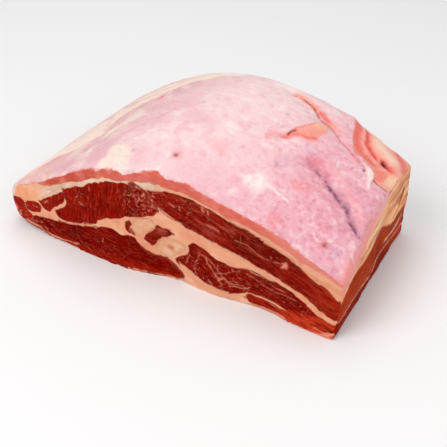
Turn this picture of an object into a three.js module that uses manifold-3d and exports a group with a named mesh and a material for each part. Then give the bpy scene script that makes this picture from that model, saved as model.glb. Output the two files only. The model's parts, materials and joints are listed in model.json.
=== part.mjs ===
// A chunk of raw beef rib, cut across: a skin muscle under its pale membrane, then cream fat
// that wraps eight muscles, two strips of lean and two rib cartilages.
// Every layer runs from the cut face to the back.
// Millimetres, +Z up: X along the cut face, Y from the cut face to the back, the underside at Z = 0.
import * as THREE from 'three';
import { mergeVertices } from 'three/addons/utils/BufferGeometryUtils.js';
import Module from 'manifold-3d';

const wasm = await Module();
wasm.setup();

// Driving dimensions
const LENGTH = 258;
const DEPTH = 142;
const FRONT_BULGE = 16;
const SKIN_THICKNESS = 8;
const SKIN_AT_NOSE = 1.6;
const RIGHT_END_SLANT = 9;
const RIGHT_END_UNDERCUT = 3;
const FOOT_FLARE = 5;
const NOSE_LIFT = 5;
const SLIT_DEPTH = 5.5;
const CREASE_DEPTH = 2.6;
const FLAP_HEIGHT = 2.4;
const TRIM_DEPTH = 2.6;
const PIT_DEPTH = 3.5;
const TISSUE_DRIFT = 12;
const RIGHT_END_DIP = 0.35;
const GAP = 0.3;

// Colours of the raw meat
const COLOUR = {
  skin: 0xe8b6b8,
  fat: 0xe6c3a0,
  lean: 0x7a1410,
  bright: 0x9c2418,
  cartilage: 0xdcc4a6,
};

const { lerp, clamp, smoothstep } = THREE.MathUtils;

// A smooth curve of heights or distances along the length, through [along, value] pairs.
function profile(pairs) {
  const along = pairs.map((pair) => pair[0]);
  const values = pairs.map((pair) => pair[1]);
  const curve = new THREE.CubicInterpolant(along, values, 1);
  return (s) => curve.evaluate(s)[0];
}

// Outer form: top edge at the cut face and at the back, extra crown between them, and the back edge in plan
const topFront = profile([
  [0, 15], [4, 27], [12, 38], [31, 47], [52, 59], [72, 70.5], [100, 80], [122, 83.5],
  [140, 81.5], [162, 76], [192, 68.5], [222, 60], [LENGTH, 49],
]);
const topBack = profile([
  [0, 18], [12, 38], [32, 55], [58, 70], [89, 84], [124, 90.5], [145, 90.5],
  [165, 87.5], [184, 83.5], [202, 78], [223, 71.5], [240, 67], [LENGTH, 59],
]);
const crown = profile([[0, 2], [40, 6], [130, 12], [200, 14], [LENGTH, 15]]);
const backEdge = profile([
  [0, 78], [4, 96], [14, 111], [30, 120], [60, 124.8], [100, 126], [190, 126], [LENGTH, 125],
]);
const CROWN_POWER = 0.6;
const BULGE_END = 127;
const BULGE_FADE = 14;
const NOSE_ROUNDING = 7;
const NOSE_ROUNDING_FADE = 5;
const NOSE_LIFT_END = 22;
const FOOT_AT = 168;
const FOOT_WIDTH = 24;
const SKIN_TAPER = [26, 50];
const BACK_AT = 126;
const CENTRE_Y = BACK_AT - DEPTH / 2;

function frontEdge(s) {
  const bulge = FRONT_BULGE / (1 + Math.exp((s - BULGE_END) / BULGE_FADE));
  return NOSE_ROUNDING * Math.exp(-Math.max(s, 0) / NOSE_ROUNDING_FADE) - bulge;
}

function topAt(s, v) {
  const share = clamp(v, 0, 1);
  const arch = Math.sin(Math.PI * share) ** CROWN_POWER;
  return lerp(topFront(s), topBack(s), share) + crown(s) * arch;
}

function undersideAt(s) {
  return NOSE_LIFT * clamp(1 - s / NOSE_LIFT_END, 0, 1) ** 2;
}

function skinThickness(s) {
  return lerp(SKIN_AT_NOSE, SKIN_THICKNESS, smoothstep(s, ...SKIN_TAPER));
}

// A place in the chunk: s along, v from the cut face (0) to the back (1), up as measured on the cut face.
// The drift slides it along without changing its share of the height.
function place(s, v, up, drift = 0) {
  const along = s + drift;
  const y = lerp(frontEdge(along), backEdge(along), v) - CENTRE_Y;
  const z = (up * topAt(along, v)) / topFront(s);
  return new THREE.Vector3(along - LENGTH / 2, y, z);
}

// Relief of the top, by distance from lines drawn on it as [along, back] points
function distanceTo(line, s, y) {
  const point = new THREE.Vector3(s, y, 0);
  const nearest = new THREE.Vector3();
  let least = Infinity;
  for (let i = 1; i < line.length; i += 1) {
    const from = new THREE.Vector3(...line[i - 1], 0);
    const to = new THREE.Vector3(...line[i], 0);
    new THREE.Line3(from, to).closestPointToPoint(point, true, nearest);
    least = Math.min(least, nearest.distanceTo(point));
  }
  return least;
}

const SLIT = [[202, 54], [213, 51], [222, 45], [235, 40], [244, 33], [251, 27]];
const SLIT_RIDGE = [[208, 60], [222, 53], [238, 46], [250, 37]];
const CREASE = [[158, 116], [166, 108], [178, 106], [188, 98], [200, 95], [207, 90], [217, 86]];
const FLAP = [[194, 92], [190, 78], [186, 72]];
const FLAP_PIT = [183, 66];
const TRIM_HOLE = [240, 94];
const TRIM_CORNER = [216, 88];
const TRIM_LEFT_LEAN = 0.34;
const TRIM_FRONT_LEAN = 0.36;
const WIDTH = { slit: 4, ridge: 5, crease: 3.6, flap: 6, pit: 4.2, trim: 6 };
const RIDGE_SHARE = 0.3;

function bump(distance, width) {
  return Math.exp(-((distance / width) ** 2));
}

// How far a point lies inside the corner at the back right where the membrane is trimmed off.
function insideTrim(s, y) {
  const fromLeft = s - (TRIM_CORNER[0] - (y - TRIM_CORNER[1]) * TRIM_LEFT_LEAN);
  const fromFront = y - (TRIM_CORNER[1] - (s - TRIM_CORNER[0]) * TRIM_FRONT_LEAN);
  return Math.min(fromLeft, fromFront);
}

function pit(centre, s, y) {
  return -PIT_DEPTH * bump(Math.hypot(s - centre[0], y - centre[1]), WIDTH.pit);
}

function relief(s, y) {
  const slit = -SLIT_DEPTH * bump(distanceTo(SLIT, s, y), WIDTH.slit);
  const ridge = RIDGE_SHARE * SLIT_DEPTH * bump(distanceTo(SLIT_RIDGE, s, y), WIDTH.ridge);
  const crease = -CREASE_DEPTH * bump(distanceTo(CREASE, s, y), WIDTH.crease);
  const flap = FLAP_HEIGHT * bump(distanceTo(FLAP, s, y), WIDTH.flap);
  const trim = -TRIM_DEPTH * smoothstep(insideTrim(s, y), 0, WIDTH.trim);
  return slit + ridge + crease + flap + trim + pit(FLAP_PIT, s, y) + pit(TRIM_HOLE, s, y);
}

// Solids: a subdivided box or an extruded outline, every vertex then moved to its place
function solid(geometry, move) {
  geometry.deleteAttribute('normal');
  geometry.deleteAttribute('uv');
  const merged = mergeVertices(geometry, 1e-5);
  const position = merged.attributes.position;
  const vertex = new THREE.Vector3();
  for (let i = 0; i < position.count; i += 1) {
    const moved = move(vertex.fromBufferAttribute(position, i));
    position.setXYZ(i, moved.x, moved.y, moved.z);
  }
  const mesh = new wasm.Mesh({
    numProp: 3,
    vertProperties: new Float32Array(position.array),
    triVerts: new Uint32Array(merged.index.array),
  });
  return new wasm.Manifold(mesh);
}

// Steps through the depth, closest where the crown rises fastest, running a little past both faces
const STATIONS = [-0.06, 0, 0.1, 0.5, 0.9, 1, 1.06];
const FACE_STATIONS = STATIONS.slice(1, -1);

// Columns along the length, closest round the nose
const NOSE_END = 24;
const NOSE_SHARE = 0.16;

function columnAt(u) {
  if (u < NOSE_SHARE) return NOSE_END * (u / NOSE_SHARE) ** 1.5;
  return lerp(NOSE_END, LENGTH, (u - NOSE_SHARE) / (1 - NOSE_SHARE));
}

// Share of an effect that only the right end has.
function rightEnd(s) {
  return clamp(s / LENGTH, 0, 1) ** 8;
}

// The whole outer form. rowAt turns a row's share of the box into its share of the depth.
function outerForm(columns, rows, rowAt, topRelief) {
  const box = new THREE.BoxGeometry(1, 1, 1, columns, rows, 1);
  return solid(box, (p) => {
    const s = columnAt(p.x + 0.5);
    const v = rowAt(p.y + 0.5);
    const w = p.z + 0.5;
    const end = rightEnd(s);
    const point = place(s, v, topFront(s));
    point.x -= end * (RIGHT_END_SLANT * v + RIGHT_END_UNDERCUT * (1 - v) * (1 - w));
    if (v === 0) point.y -= FOOT_FLARE * (1 - w) * bump(s - FOOT_AT, FOOT_WIDTH);
    const top = point.z + topRelief(s, point.y + CENTRE_Y);
    point.z = lerp(undersideAt(s), top, w);
    return point;
  });
}

const ROW_CROWDING = 0.35;
const fineRow = (t) => t - (ROW_CROWDING * Math.sin(2 * Math.PI * t)) / (2 * Math.PI);
const coarseRow = (t) => FACE_STATIONS[Math.round(t * (FACE_STATIONS.length - 1))];
const fineForm = outerForm(52, 27, fineRow, relief);
const coarseForm = outerForm(20, FACE_STATIONS.length - 1, coarseRow, () => 0);

// Everything under the skin muscle, with its upper surface raised by the given amount.
function underSkin(raise) {
  const below = -20;
  const past = 8;
  const box = new THREE.BoxGeometry(1, 1, 1, 26, STATIONS.length - 1, 1);
  return solid(box, (p) => {
    const s = lerp(-past, LENGTH + past, p.x + 0.5);
    const v = STATIONS[Math.round((p.y + 0.5) * (STATIONS.length - 1))];
    const inside = clamp(s, 0, LENGTH);
    const point = place(s, v, topFront(inside) - skinThickness(inside) + raise);
    if (p.z < 0) point.z = below;
    return point;
  });
}

// A closed outline on the cut face, grown outwards by the given amount and run through the whole depth.
// On the way back the tissue drifts along the length, and at the right end it dips.
const SMOOTHING = 1.3;

function through(outline, grow) {
  const points = outline.map(([s, up]) => new THREE.Vector3(s, up, 0));
  const curve = new THREE.CatmullRomCurve3(points, true, 'centripetal');
  const count = Math.round(outline.length * SMOOTHING);
  const round = curve.getPoints(count).slice(0, count);
  const turn = Math.sign(THREE.ShapeUtils.area(round));
  const grown = round.map((point, i) => {
    const before = round[(i + count - 1) % count];
    const after = round[(i + 1) % count];
    const side = new THREE.Vector2(after.y - before.y, before.x - after.x).normalize();
    return new THREE.Vector2(point.x, point.y).addScaledVector(side, turn * grow);
  });
  const steps = STATIONS.length - 1;
  const prism = new THREE.ExtrudeGeometry(new THREE.Shape(grown), { depth: 1, steps, bevelEnabled: false });
  return solid(prism, (p) => {
    const v = STATIONS[steps - Math.round(p.z * steps)];
    const share = clamp(v, 0, 1);
    const drift = TISSUE_DRIFT * share * Math.sin(Math.PI * clamp(p.x / LENGTH, 0, 1));
    const dip = 1 - RIGHT_END_DIP * Math.sin(Math.PI * share) * rightEnd(p.x);
    return place(p.x, v, p.y * dip, drift);
  });
}

// Outlines on the cut face, as [along from the left end, up from the underside]
const PAST_END = LENGTH + 6;
const PAST_NOSE = -6;
const OUTLINES = {
  upper_muscle_left: [
    [57, 48.5], [66, 54.5], [76, 59], [86, 63.5], [96, 68.3], [108, 70.8], [117, 69], [124, 61.5],
    [130, 53], [122, 49.3], [110, 46], [98, 41.5], [88, 36], [78, 30.3], [68, 24.8], [56, 22.6],
    [47, 23.8], [45.5, 27], [50, 30.5], [55.8, 36], [57.2, 42],
  ],
  upper_lobe: [
    [31, 30], [38, 34.3], [45, 39.5], [52, 44.6], [55.3, 45.5], [54.6, 41], [52.4, 36], [47, 31.4],
    [42, 28], [37, 24.6], [33, 26.5],
  ],
  upper_muscle_right: [
    [121.5, 69.2], [133, 70.8], [150, 69], [170, 63.8], [192, 59.6], [210, 54.6], [224, 49], [234, 42],
    [248, 37.8], [PAST_END, 33], [PAST_END, 14.5], [246, 18], [230, 26], [218, 29], [204, 33],
    [184, 38.3], [164, 42.3], [150, 47], [136, 51.8], [127, 62],
  ],
  tip_muscle: [
    [16, 21], [18.5, 25], [23, 26.8], [29, 27.2], [30, 24.3], [27, 20.3], [21, 17.8], [17.4, 18.6],
  ],
  nose_muscle: [
    [PAST_NOSE, 24.5], [3, 24.6], [10, 25], [14.4, 24], [14, 20], [16.4, 16.4], [23, 13], [18, 8.8],
    [10, 7.2], [PAST_NOSE, 7],
  ],
  lower_muscle_left: [
    [27, 14.6], [33, 16.6], [42, 18], [52, 19], [60, 20.2], [68, 22.2], [76, 25.4], [83, 27.2],
    [88, 29.6], [94, 29.2], [101, 27], [108, 28.4], [113, 26], [116, 21.6], [119, 17.8], [124, 15.2],
    [131, 15.8], [137, 12.5], [141.5, 8.6], [143.5, 5], [140, 2], [120, 1.5], [95, 1.4], [70, 1.4],
    [50, 2.2], [34, 4], [24, 7], [21, 10.5],
  ],
  lower_muscle_right: [
    [140, 18.6], [146, 23], [151.5, 27.4], [150, 32.4], [154, 35.2], [161, 33.8], [168, 31], [180, 29.5],
    [198, 29.6], [208, 28.6], [214, 26.2], [224, 24.4], [234, 19], [246, 12.9], [PAST_END, 8.6],
    [PAST_END, 6], [238, 7.4], [222, 8.6], [208, 11], [197, 12.8], [191.5, 10.5], [188, 7], [178, 5.4],
    [164, 4.4], [155, 5], [149, 9], [144, 13.6],
  ],
  base_muscle: [
    [196, 11], [206, 9.2], [222, 6.8], [238, 5.8], [PAST_END, 4.6], [PAST_END, 1.4], [225, 1.4],
    [203, 1.6], [195, 3.2], [193, 7.4],
  ],
  cartilage_upper: [
    [111.6, 44.4], [118, 46], [123.8, 45], [125.8, 42], [124, 38.4], [119.4, 33.8], [115, 31],
    [111.6, 33.2], [110.8, 38.4],
  ],
  cartilage_lower: [
    [126, 23.6], [127.4, 28.2], [131.2, 32.2], [137, 35], [143.5, 34.8], [147.6, 32], [149, 28.8],
    [146, 26], [141.4, 23], [138, 20], [133.5, 19.4], [128.8, 21],
  ],
  seam_lean: [
    [127.4, 42.8], [133.6, 40.4], [138.4, 37.6], [135.4, 36], [129.8, 33], [125.6, 28.6], [123.6, 25.4],
    [121.6, 26.4], [118, 29.8], [121, 33.2], [125.4, 38],
  ],
  seam_wedge: [
    [105, 40], [108.6, 41.8], [109.2, 38.4], [108.6, 35.4], [109.4, 32.4], [107.4, 31.8], [106, 35.4],
  ],
};

const LEAN_COLOURS = {
  upper_lobe: COLOUR.bright,
  nose_muscle: COLOUR.bright,
  base_muscle: COLOUR.bright,
  cartilage_upper: COLOUR.cartilage,
  cartilage_lower: COLOUR.cartilage,
};

// Meshes
function largestPiece(body) {
  const pieces = body.decompose();
  return pieces.reduce((most, piece) => (piece.volume() > most.volume() ? piece : most));
}

function addMesh(group, name, body, colour, roughness) {
  const { vertProperties, triVerts } = largestPiece(body).getMesh();
  const geometry = new THREE.BufferGeometry();
  geometry.setAttribute('position', new THREE.BufferAttribute(new Float32Array(vertProperties), 3));
  geometry.setIndex(new THREE.BufferAttribute(new Uint32Array(triVerts), 1));
  geometry.computeVertexNormals();
  const material = new THREE.MeshStandardMaterial({ color: colour, roughness, metalness: 0 });
  const mesh = new THREE.Mesh(geometry, material);
  mesh.name = name;
  group.add(mesh);
}

const beefRib = new THREE.Group();
const inner = coarseForm.intersect(underSkin(-GAP / 2));
let fat = inner;
addMesh(beefRib, 'skin_muscle', fineForm.subtract(underSkin(GAP / 2)), COLOUR.skin, 0.45);
for (const [name, outline] of Object.entries(OUTLINES)) {
  fat = fat.subtract(through(outline, GAP / 2));
  const lean = through(outline, -GAP / 2).intersect(inner);
  addMesh(beefRib, name, lean, LEAN_COLOURS[name] ?? COLOUR.lean, 0.4);
}
addMesh(beefRib, 'fat', fat, COLOUR.fat, 0.5);

export default beefRib;
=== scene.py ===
import json
import math
import random
from functools import cached_property

import bmesh
import bpy
import numpy as np
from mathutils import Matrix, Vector, geometry, kdtree
from mathutils.bvhtree import BVHTree


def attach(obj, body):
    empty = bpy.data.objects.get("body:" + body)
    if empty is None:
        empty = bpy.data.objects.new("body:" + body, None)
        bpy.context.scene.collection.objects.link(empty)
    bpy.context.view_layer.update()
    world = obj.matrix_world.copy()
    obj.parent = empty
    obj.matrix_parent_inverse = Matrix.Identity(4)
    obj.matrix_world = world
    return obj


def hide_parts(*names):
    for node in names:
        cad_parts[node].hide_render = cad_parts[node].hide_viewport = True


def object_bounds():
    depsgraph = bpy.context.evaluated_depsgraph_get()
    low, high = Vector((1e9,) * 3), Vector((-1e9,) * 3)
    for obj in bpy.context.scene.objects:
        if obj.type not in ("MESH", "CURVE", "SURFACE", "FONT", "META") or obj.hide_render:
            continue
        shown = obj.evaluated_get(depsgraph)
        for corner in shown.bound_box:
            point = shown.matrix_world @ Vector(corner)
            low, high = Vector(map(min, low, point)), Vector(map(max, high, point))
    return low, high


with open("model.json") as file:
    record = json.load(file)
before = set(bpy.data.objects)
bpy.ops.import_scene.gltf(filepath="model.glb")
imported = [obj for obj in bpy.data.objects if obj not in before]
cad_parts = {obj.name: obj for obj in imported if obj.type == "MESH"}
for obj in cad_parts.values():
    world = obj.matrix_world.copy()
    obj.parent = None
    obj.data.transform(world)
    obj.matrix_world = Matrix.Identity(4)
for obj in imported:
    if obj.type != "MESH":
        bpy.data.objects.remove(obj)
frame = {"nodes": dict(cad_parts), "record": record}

CAD_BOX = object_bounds()
MM = 0.001
LOW_CORNER, HIGH_CORNER = (np.array(corner) / MM for corner in CAD_BOX)

# Places are in millimetres: along from the left end, back from the front right corner, up from the floor.
# On the cut face they are [along, up], on the top [along, back] and on the right end [back, up].
LEFT_END_X = LOW_CORNER[0]
FRONT_CORNER_Y = -55.0

# Each side of the chunk: spacing of its mesh, the way it faces, and how squarely a face must face that way
SIDE_TABLE = {
    "front": (0.75, (0, -1, 0), 0.5),
    "top": (0.8, (0, 0, 1), -1.0),
    "right": (1.0, (1, 0, 0), 0.5),
    "left": (1.0, (-1, 0, 0), 0.7),
    "back": (1.6, (0, 1, 0), 0.5),
    "under": (5.0, (0, 0, -1), 0.5),
}
SIDES = list(SIDE_TABLE)
SPACING = {side: row[0] * MM for side, row in SIDE_TABLE.items()}
OUTWARD = {side: Vector(row[1]) for side, row in SIDE_TABLE.items()}
LEAST_FACING = {side: row[2] for side, row in SIDE_TABLE.items()}
CUT_SIDES = ["front", "right", "left", "back"]
SHOWN_SIDES = {"skin_muscle": ["top"] + CUT_SIDES, "fat": CUT_SIDES + ["under"]}

# Skin faces that face up this much belong to the top; the ends and the back reach only so far round
TOP_FACING = 0.15
RIGHT_END_FROM = 240
LEFT_END_TO = 20
LEFT_END_FROM_BACK = 20
BACK_FROM = 60

# Limits for the fine meshes
SHOWN_WITHIN = 0.1 * MM
MISSED_AREA = 40 * MM * MM
SLIVER = 0.05 * MM
LONGEST_EDGE = 12 * MM
CORNER_TURN = math.radians(50)
STRAIGHT_TURN = math.radians(3)
CLEAR_OF_BORDER = 0.6
UNEVEN = 0.2
SEED = 7

# The soft skin round the whole chunk that outer faces are laid on, softest on its upper right edge
HULL_SWELL = 0.25 * MM
HULL_VOXEL = 1.2 * MM
HULL_SMOOTHING = 10
SOFT_EDGE_SMOOTHING = 120
SOFT_EDGE_ALONG = (236, 248)
SOFT_EDGE_UP = (24, 36)
SOFT_EDGE_START = (2, 16)
SOFT_EDGE_END = (64, 84)
FOOT_SOFTNESS = 0.12
FOOT_RISE = (0.5, 5)

# Pieces grow under each other's edges, and those set in the fat stand a hair proud of it, so no gap shows
GROW = 0.36 * MM
PROUD = 0.07 * MM

# How far every border on the surface wavers, the same for all pieces, so that neighbours still meet
WAVER = 1.5 * MM
WAVER_SIZE = 7
FINE_WAVER = 0.6 * MM
FINE_WAVER_SIZE = 2.6

# Slope of the muscle fibres on the cut face, in degrees from level
FIBRE_SLOPE = {
    "upper_muscle_left": 82, "upper_lobe": 60, "upper_muscle_right": -19, "lower_muscle_left": -14,
    "lower_muscle_right": -17, "base_muscle": -13,
}


# Numbers and colours

def srgb(red, green, blue):
    """A colour in 0..255 as the linear numbers that shaders use."""
    value = np.array([red, green, blue], float) / 255
    return np.where(value <= 0.04045, value / 12.92, ((value + 0.055) / 1.055) ** 2.4)


def step(low, high, value):
    """0 below low, 1 above high, smooth between."""
    share = np.clip((value - low) / (high - low), 0, 1)
    return share * share * (3 - 2 * share)


def level(line, at):
    """The height of a line of straight runs at each place."""
    return np.interp(at, *np.array(line).T)


def lattice(cells, seed):
    """A random number in 0..1 for each whole-numbered cell, the same on every run."""
    mixed = cells[:, 0] * 374761393 + cells[:, 1] * 668265263 + cells[:, 2] * 144665861 + seed * 974711
    mixed = (mixed ^ (mixed >> 13)) * 1274126177
    mixed = mixed ^ (mixed >> 16)
    return (mixed & 0xFFFF) / 0xFFFF


def rough(points, size, seed, octaves=1, stretch=(1, 1, 1)):
    """Smooth noise in about -1..1 at points in millimetres, with lumps of the given size."""
    points = points / np.array(stretch)
    total = np.zeros(len(points))
    weight = 0.0
    for octave in range(octaves):
        share = 0.5 ** octave
        scaled = points / size * 2 ** octave + 1000.0
        cell = np.floor(scaled).astype(np.int64)
        inside = scaled - cell
        eased = inside * inside * (3 - 2 * inside)
        value = np.zeros(len(points))
        for corner in range(8):
            offset = np.array([corner & 1, corner >> 1 & 1, corner >> 2 & 1])
            near = np.where(offset, eased, 1 - eased).prod(axis=1)
            value += near * lattice(cell + offset, seed + octave)
        total += share * (value * 2 - 1)
        weight += share
    return total / weight


def shaken(flat, place, amount, size, seed, octaves=2):
    """Flat places shaken a little, so that what is drawn there comes out uneven."""
    shake = [rough(place, size, seed + axis, octaves) for axis in range(2)]
    return flat + amount * np.column_stack(shake)


def face_of(place):
    """Along and up: places on the cut face."""
    return np.column_stack([place[:, 0] - LEFT_END_X, place[:, 2]])


def plan_of(place):
    """Along and back: places on the top."""
    return place[:, :2] - np.array([LEFT_END_X, FRONT_CORNER_Y])


def distance_to(line, flat):
    """How far each flat point lies from a line of straight runs."""
    line = np.array(line, float)
    if len(line) == 1:
        return np.linalg.norm(flat - line[0], axis=1)
    least = np.full(len(flat), np.inf)
    for start, end in zip(line[:-1], line[1:]):
        run = end - start
        along = np.clip((flat - start) @ run / (run @ run), 0, 1)
        least = np.minimum(least, np.linalg.norm(flat - start - along[:, None] * run, axis=1))
    return least


def even_odd(flat, rings):
    """Whether each flat point lies inside the rings, counting crossings."""
    inside = np.zeros(len(flat), bool)
    for ring in rings:
        start = np.array(ring)
        end = np.roll(start, -1, axis=0)
        for (x0, y0), (x1, y1) in zip(start, end):
            if y0 == y1:
                continue
            spans = (y0 > flat[:, 1]) != (y1 > flat[:, 1])
            inside ^= spans & (flat[:, 0] < (x1 - x0) * (flat[:, 1] - y0) / (y1 - y0) + x0)
    return inside


def stroke(line, flat, width, soft):
    """1 on a brush line of the given half width, fading out over soft."""
    return 1 - step(width - soft / 2, width + soft / 2, distance_to(line, flat))


def groove(line, flat, width):
    """1 on a line, fading out on both sides."""
    return np.exp(-(distance_to(line, flat) / width) ** 2)


def patch(centre, size, flat, soft):
    """1 inside an oval, fading out at its rim."""
    reach = np.linalg.norm((flat - np.array(centre, float)) / np.array(size, float), axis=1)
    return 1 - step(1 - soft, 1 + soft, reach)


def area(outline, flat, soft):
    """1 inside an outline, fading over its edge."""
    away = distance_to(outline + outline[:1], flat)
    return step(-soft, soft, np.where(even_odd(flat, [outline]), away, -away))


def base_coat(colour, place):
    """One colour for every place."""
    return np.tile(srgb(*colour), (len(place), 1))


def coats(paint, *layers):
    """Paints colours one over the other, each as strongly as its share says at each point."""
    for colour, share in layers:
        share = np.clip(share, 0, 1)[:, None]
        paint = paint * (1 - share) + srgb(*colour) * share
    return paint


# Fine meshes: each CAD node's outer faces are traded for an even fine mesh inside the same border

def loose_copy(node):
    """A bmesh of a CAD node with its split corners joined again."""
    bm = bmesh.new()
    bm.from_mesh(node.data)
    bmesh.ops.remove_doubles(bm, verts=bm.verts, dist=1e-6)
    bmesh.ops.dissolve_degenerate(bm, dist=SLIVER, edges=bm.edges)
    bmesh.ops.triangulate(bm, faces=bm.faces)
    bm.normal_update()
    return bm


def tree_of(meshes):
    """One search tree over several bmeshes."""
    points, faces = [], []
    for bm in meshes:
        start = len(points)
        bm.verts.index_update()
        points += [v.co.copy() for v in bm.verts]
        faces += [[v.index + start for v in f.verts] for f in bm.faces]
    return BVHTree.FromPolygons(points, faces)


def joined_mesh(copies):
    """All pieces in one mesh, each swollen a little so that they overlap."""
    joined = bmesh.new()
    for bm in copies.values():
        swollen = bm.copy()
        for v in swollen.verts:
            v.co += v.normal * HULL_SWELL
        part = bpy.data.meshes.new("hull_part")
        swollen.to_mesh(part)
        swollen.free()
        joined.from_mesh(part)
        bpy.data.meshes.remove(part)
    mesh = bpy.data.meshes.new("hull")
    joined.to_mesh(mesh)
    joined.free()
    return mesh


def add_smoothing(hull, name, times, weights):
    """Smooths a hull as strongly as the weight of each vertex says."""
    group = hull.vertex_groups.new(name=name)
    for i in np.flatnonzero(weights):
        group.add([int(i)], float(weights[i]), "REPLACE")
    smooth = hull.modifiers.new(name, "SMOOTH")
    smooth.factor = 0.5
    smooth.iterations = times
    smooth.vertex_group = name


def smooth_hull(copies):
    """One closed skin round the whole chunk, its facets and hard edges softened."""
    mesh = joined_mesh(copies)
    hull = bpy.data.objects.new("hull", mesh)
    bpy.context.scene.collection.objects.link(hull)
    remesh = hull.modifiers.new("remesh", "REMESH")
    remesh.mode = "VOXEL"
    remesh.voxel_size = HULL_VOXEL
    even = bpy.data.meshes.new_from_object(hull.evaluated_get(bpy.context.evaluated_depsgraph_get()))
    hull.modifiers.clear()
    hull.data = even
    bpy.data.meshes.remove(mesh)

    place = np.array([v.co for v in even.vertices]) / MM
    along, back = plan_of(place).T
    up = place[:, 2]
    soft_edge = step(*SOFT_EDGE_ALONG, along) * step(*SOFT_EDGE_UP, up)
    soft_edge *= step(*SOFT_EDGE_START, back) * (1 - step(*SOFT_EDGE_END, back))
    body = FOOT_SOFTNESS + (1 - FOOT_SOFTNESS) * step(*FOOT_RISE, up)
    add_smoothing(hull, "body", HULL_SMOOTHING, body)
    add_smoothing(hull, "soft_edge", SOFT_EDGE_SMOOTHING, soft_edge)
    shrink = hull.modifiers.new("shrink", "DISPLACE")
    shrink.mid_level = 0
    shrink.strength = -HULL_SWELL
    tree = BVHTree.FromObject(hull, bpy.context.evaluated_depsgraph_get())
    bpy.data.objects.remove(hull)
    bpy.data.meshes.remove(even)
    return tree


def side_of(name, normal):
    """The side of the chunk that an outer face belongs to."""
    if name == "skin_muscle" and normal.z > TOP_FACING:
        return "top"
    return max(SHOWN_SIDES.get(name, CUT_SIDES), key=lambda side: normal.dot(OUTWARD[side]))


def can_lie_on(side, place):
    """Whether a face here can belong to a side: the ends and the back reach only so far round the chunk."""
    along, back = place.x / MM - LEFT_END_X, place.y / MM - FRONT_CORNER_Y
    if side == "right":
        return along > RIGHT_END_FROM
    if side == "left":
        return along < LEFT_END_TO or back > LEFT_END_FROM_BACK
    return side != "back" or back > BACK_FROM


def mark_outer_faces(name, bm, everything, layer):
    """Marks the faces that show with minus the number of their side: those met first from that side, and
    small groups among them that a grazing ray missed."""
    for face in bm.faces:
        side = side_of(name, face.normal)
        if face.normal.dot(OUTWARD[side]) < LEAST_FACING[side]:
            continue
        centre = face.calc_center_median()
        if not can_lie_on(side, centre):
            continue
        hit = everything.ray_cast(centre + OUTWARD[side], -OUTWARD[side])[0]
        if hit is not None and (hit - centre).length < SHOWN_WITHIN:
            face[layer] = -1 - SIDES.index(side)
    for island in islands([f for f in bm.faces if f[layer] == 0]):
        around = [f[layer] for face in island for e in face.edges for f in e.link_faces if f[layer] < 0]
        if around and sum(f.calc_area() for f in island) < MISSED_AREA:
            for face in island:
                face[layer] = max(set(around), key=around.count)


def islands(faces):
    """Groups faces that hang together."""
    left = dict.fromkeys(faces)
    groups = []
    while left:
        group = [left.popitem()[0]]
        for face in group:
            beside = [f for e in face.edges for f in e.link_faces if f in left]
            for other in dict.fromkeys(beside):
                del left[other]
                group.append(other)
        groups.append(group)
    return groups


def split_edge(bm, edge, parts, layer):
    """Cuts an edge into equal parts and fans the faces beside it out to the new points."""
    if parts < 2:
        return
    beside = [(face, next(v for v in face.verts if v not in edge.verts)) for face in edge.link_faces]
    chain = [edge.verts[0]]
    end = edge.verts[1]
    for left in range(parts, 1, -1):
        chain.append(bmesh.utils.edge_split(edge, chain[-1], 1 / left)[1])
    chain.append(end)
    for face, apex in beside:
        side, normal = face[layer], face.normal.copy()
        bm.faces.remove(face)
        for first, second in zip(chain[:-1], chain[1:]):
            add_face(bm, (first, second, apex), normal, layer, side)


def add_face(bm, corners, towards, layer, mark):
    """Adds a marked triangle that faces a given way."""
    face = bm.faces.new(corners)
    face.normal_update()
    if face.normal.dot(towards) < 0:
        face.normal_flip()
    face[layer] = mark


def border_of(faces):
    """The edges that only one of the faces has."""
    inside = set(faces)
    edges = dict.fromkeys(edge for face in faces for edge in face.edges)
    return [e for e in edges if sum(f in inside for f in e.link_faces) == 1]


def rings_of(edges):
    """Chains border edges into closed rings of vertices."""
    at = {}
    for edge in edges:
        for v in edge.verts:
            at.setdefault(v, []).append(edge)
    left = dict.fromkeys(edges)
    rings = []
    while left:
        edge = next(iter(left))
        v = edge.verts[0]
        ring = []
        while edge is not None:
            del left[edge]
            ring.append(v)
            v = edge.other_vert(v)
            edge = next((e for e in at[v] if e in left), None)
        rings.append(ring)
    return rings


def flat_of(place, flat):
    """A place seen along a side's axis."""
    return Vector((place[flat[0]], place[flat[1]]))


def turn_at(before, here, after):
    """The angle that a ring turns by at one of its points."""
    first, second = here - before, after - here
    if first.length < 1e-9 or second.length < 1e-9:
        return 0.0
    return first.angle(second)


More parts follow.
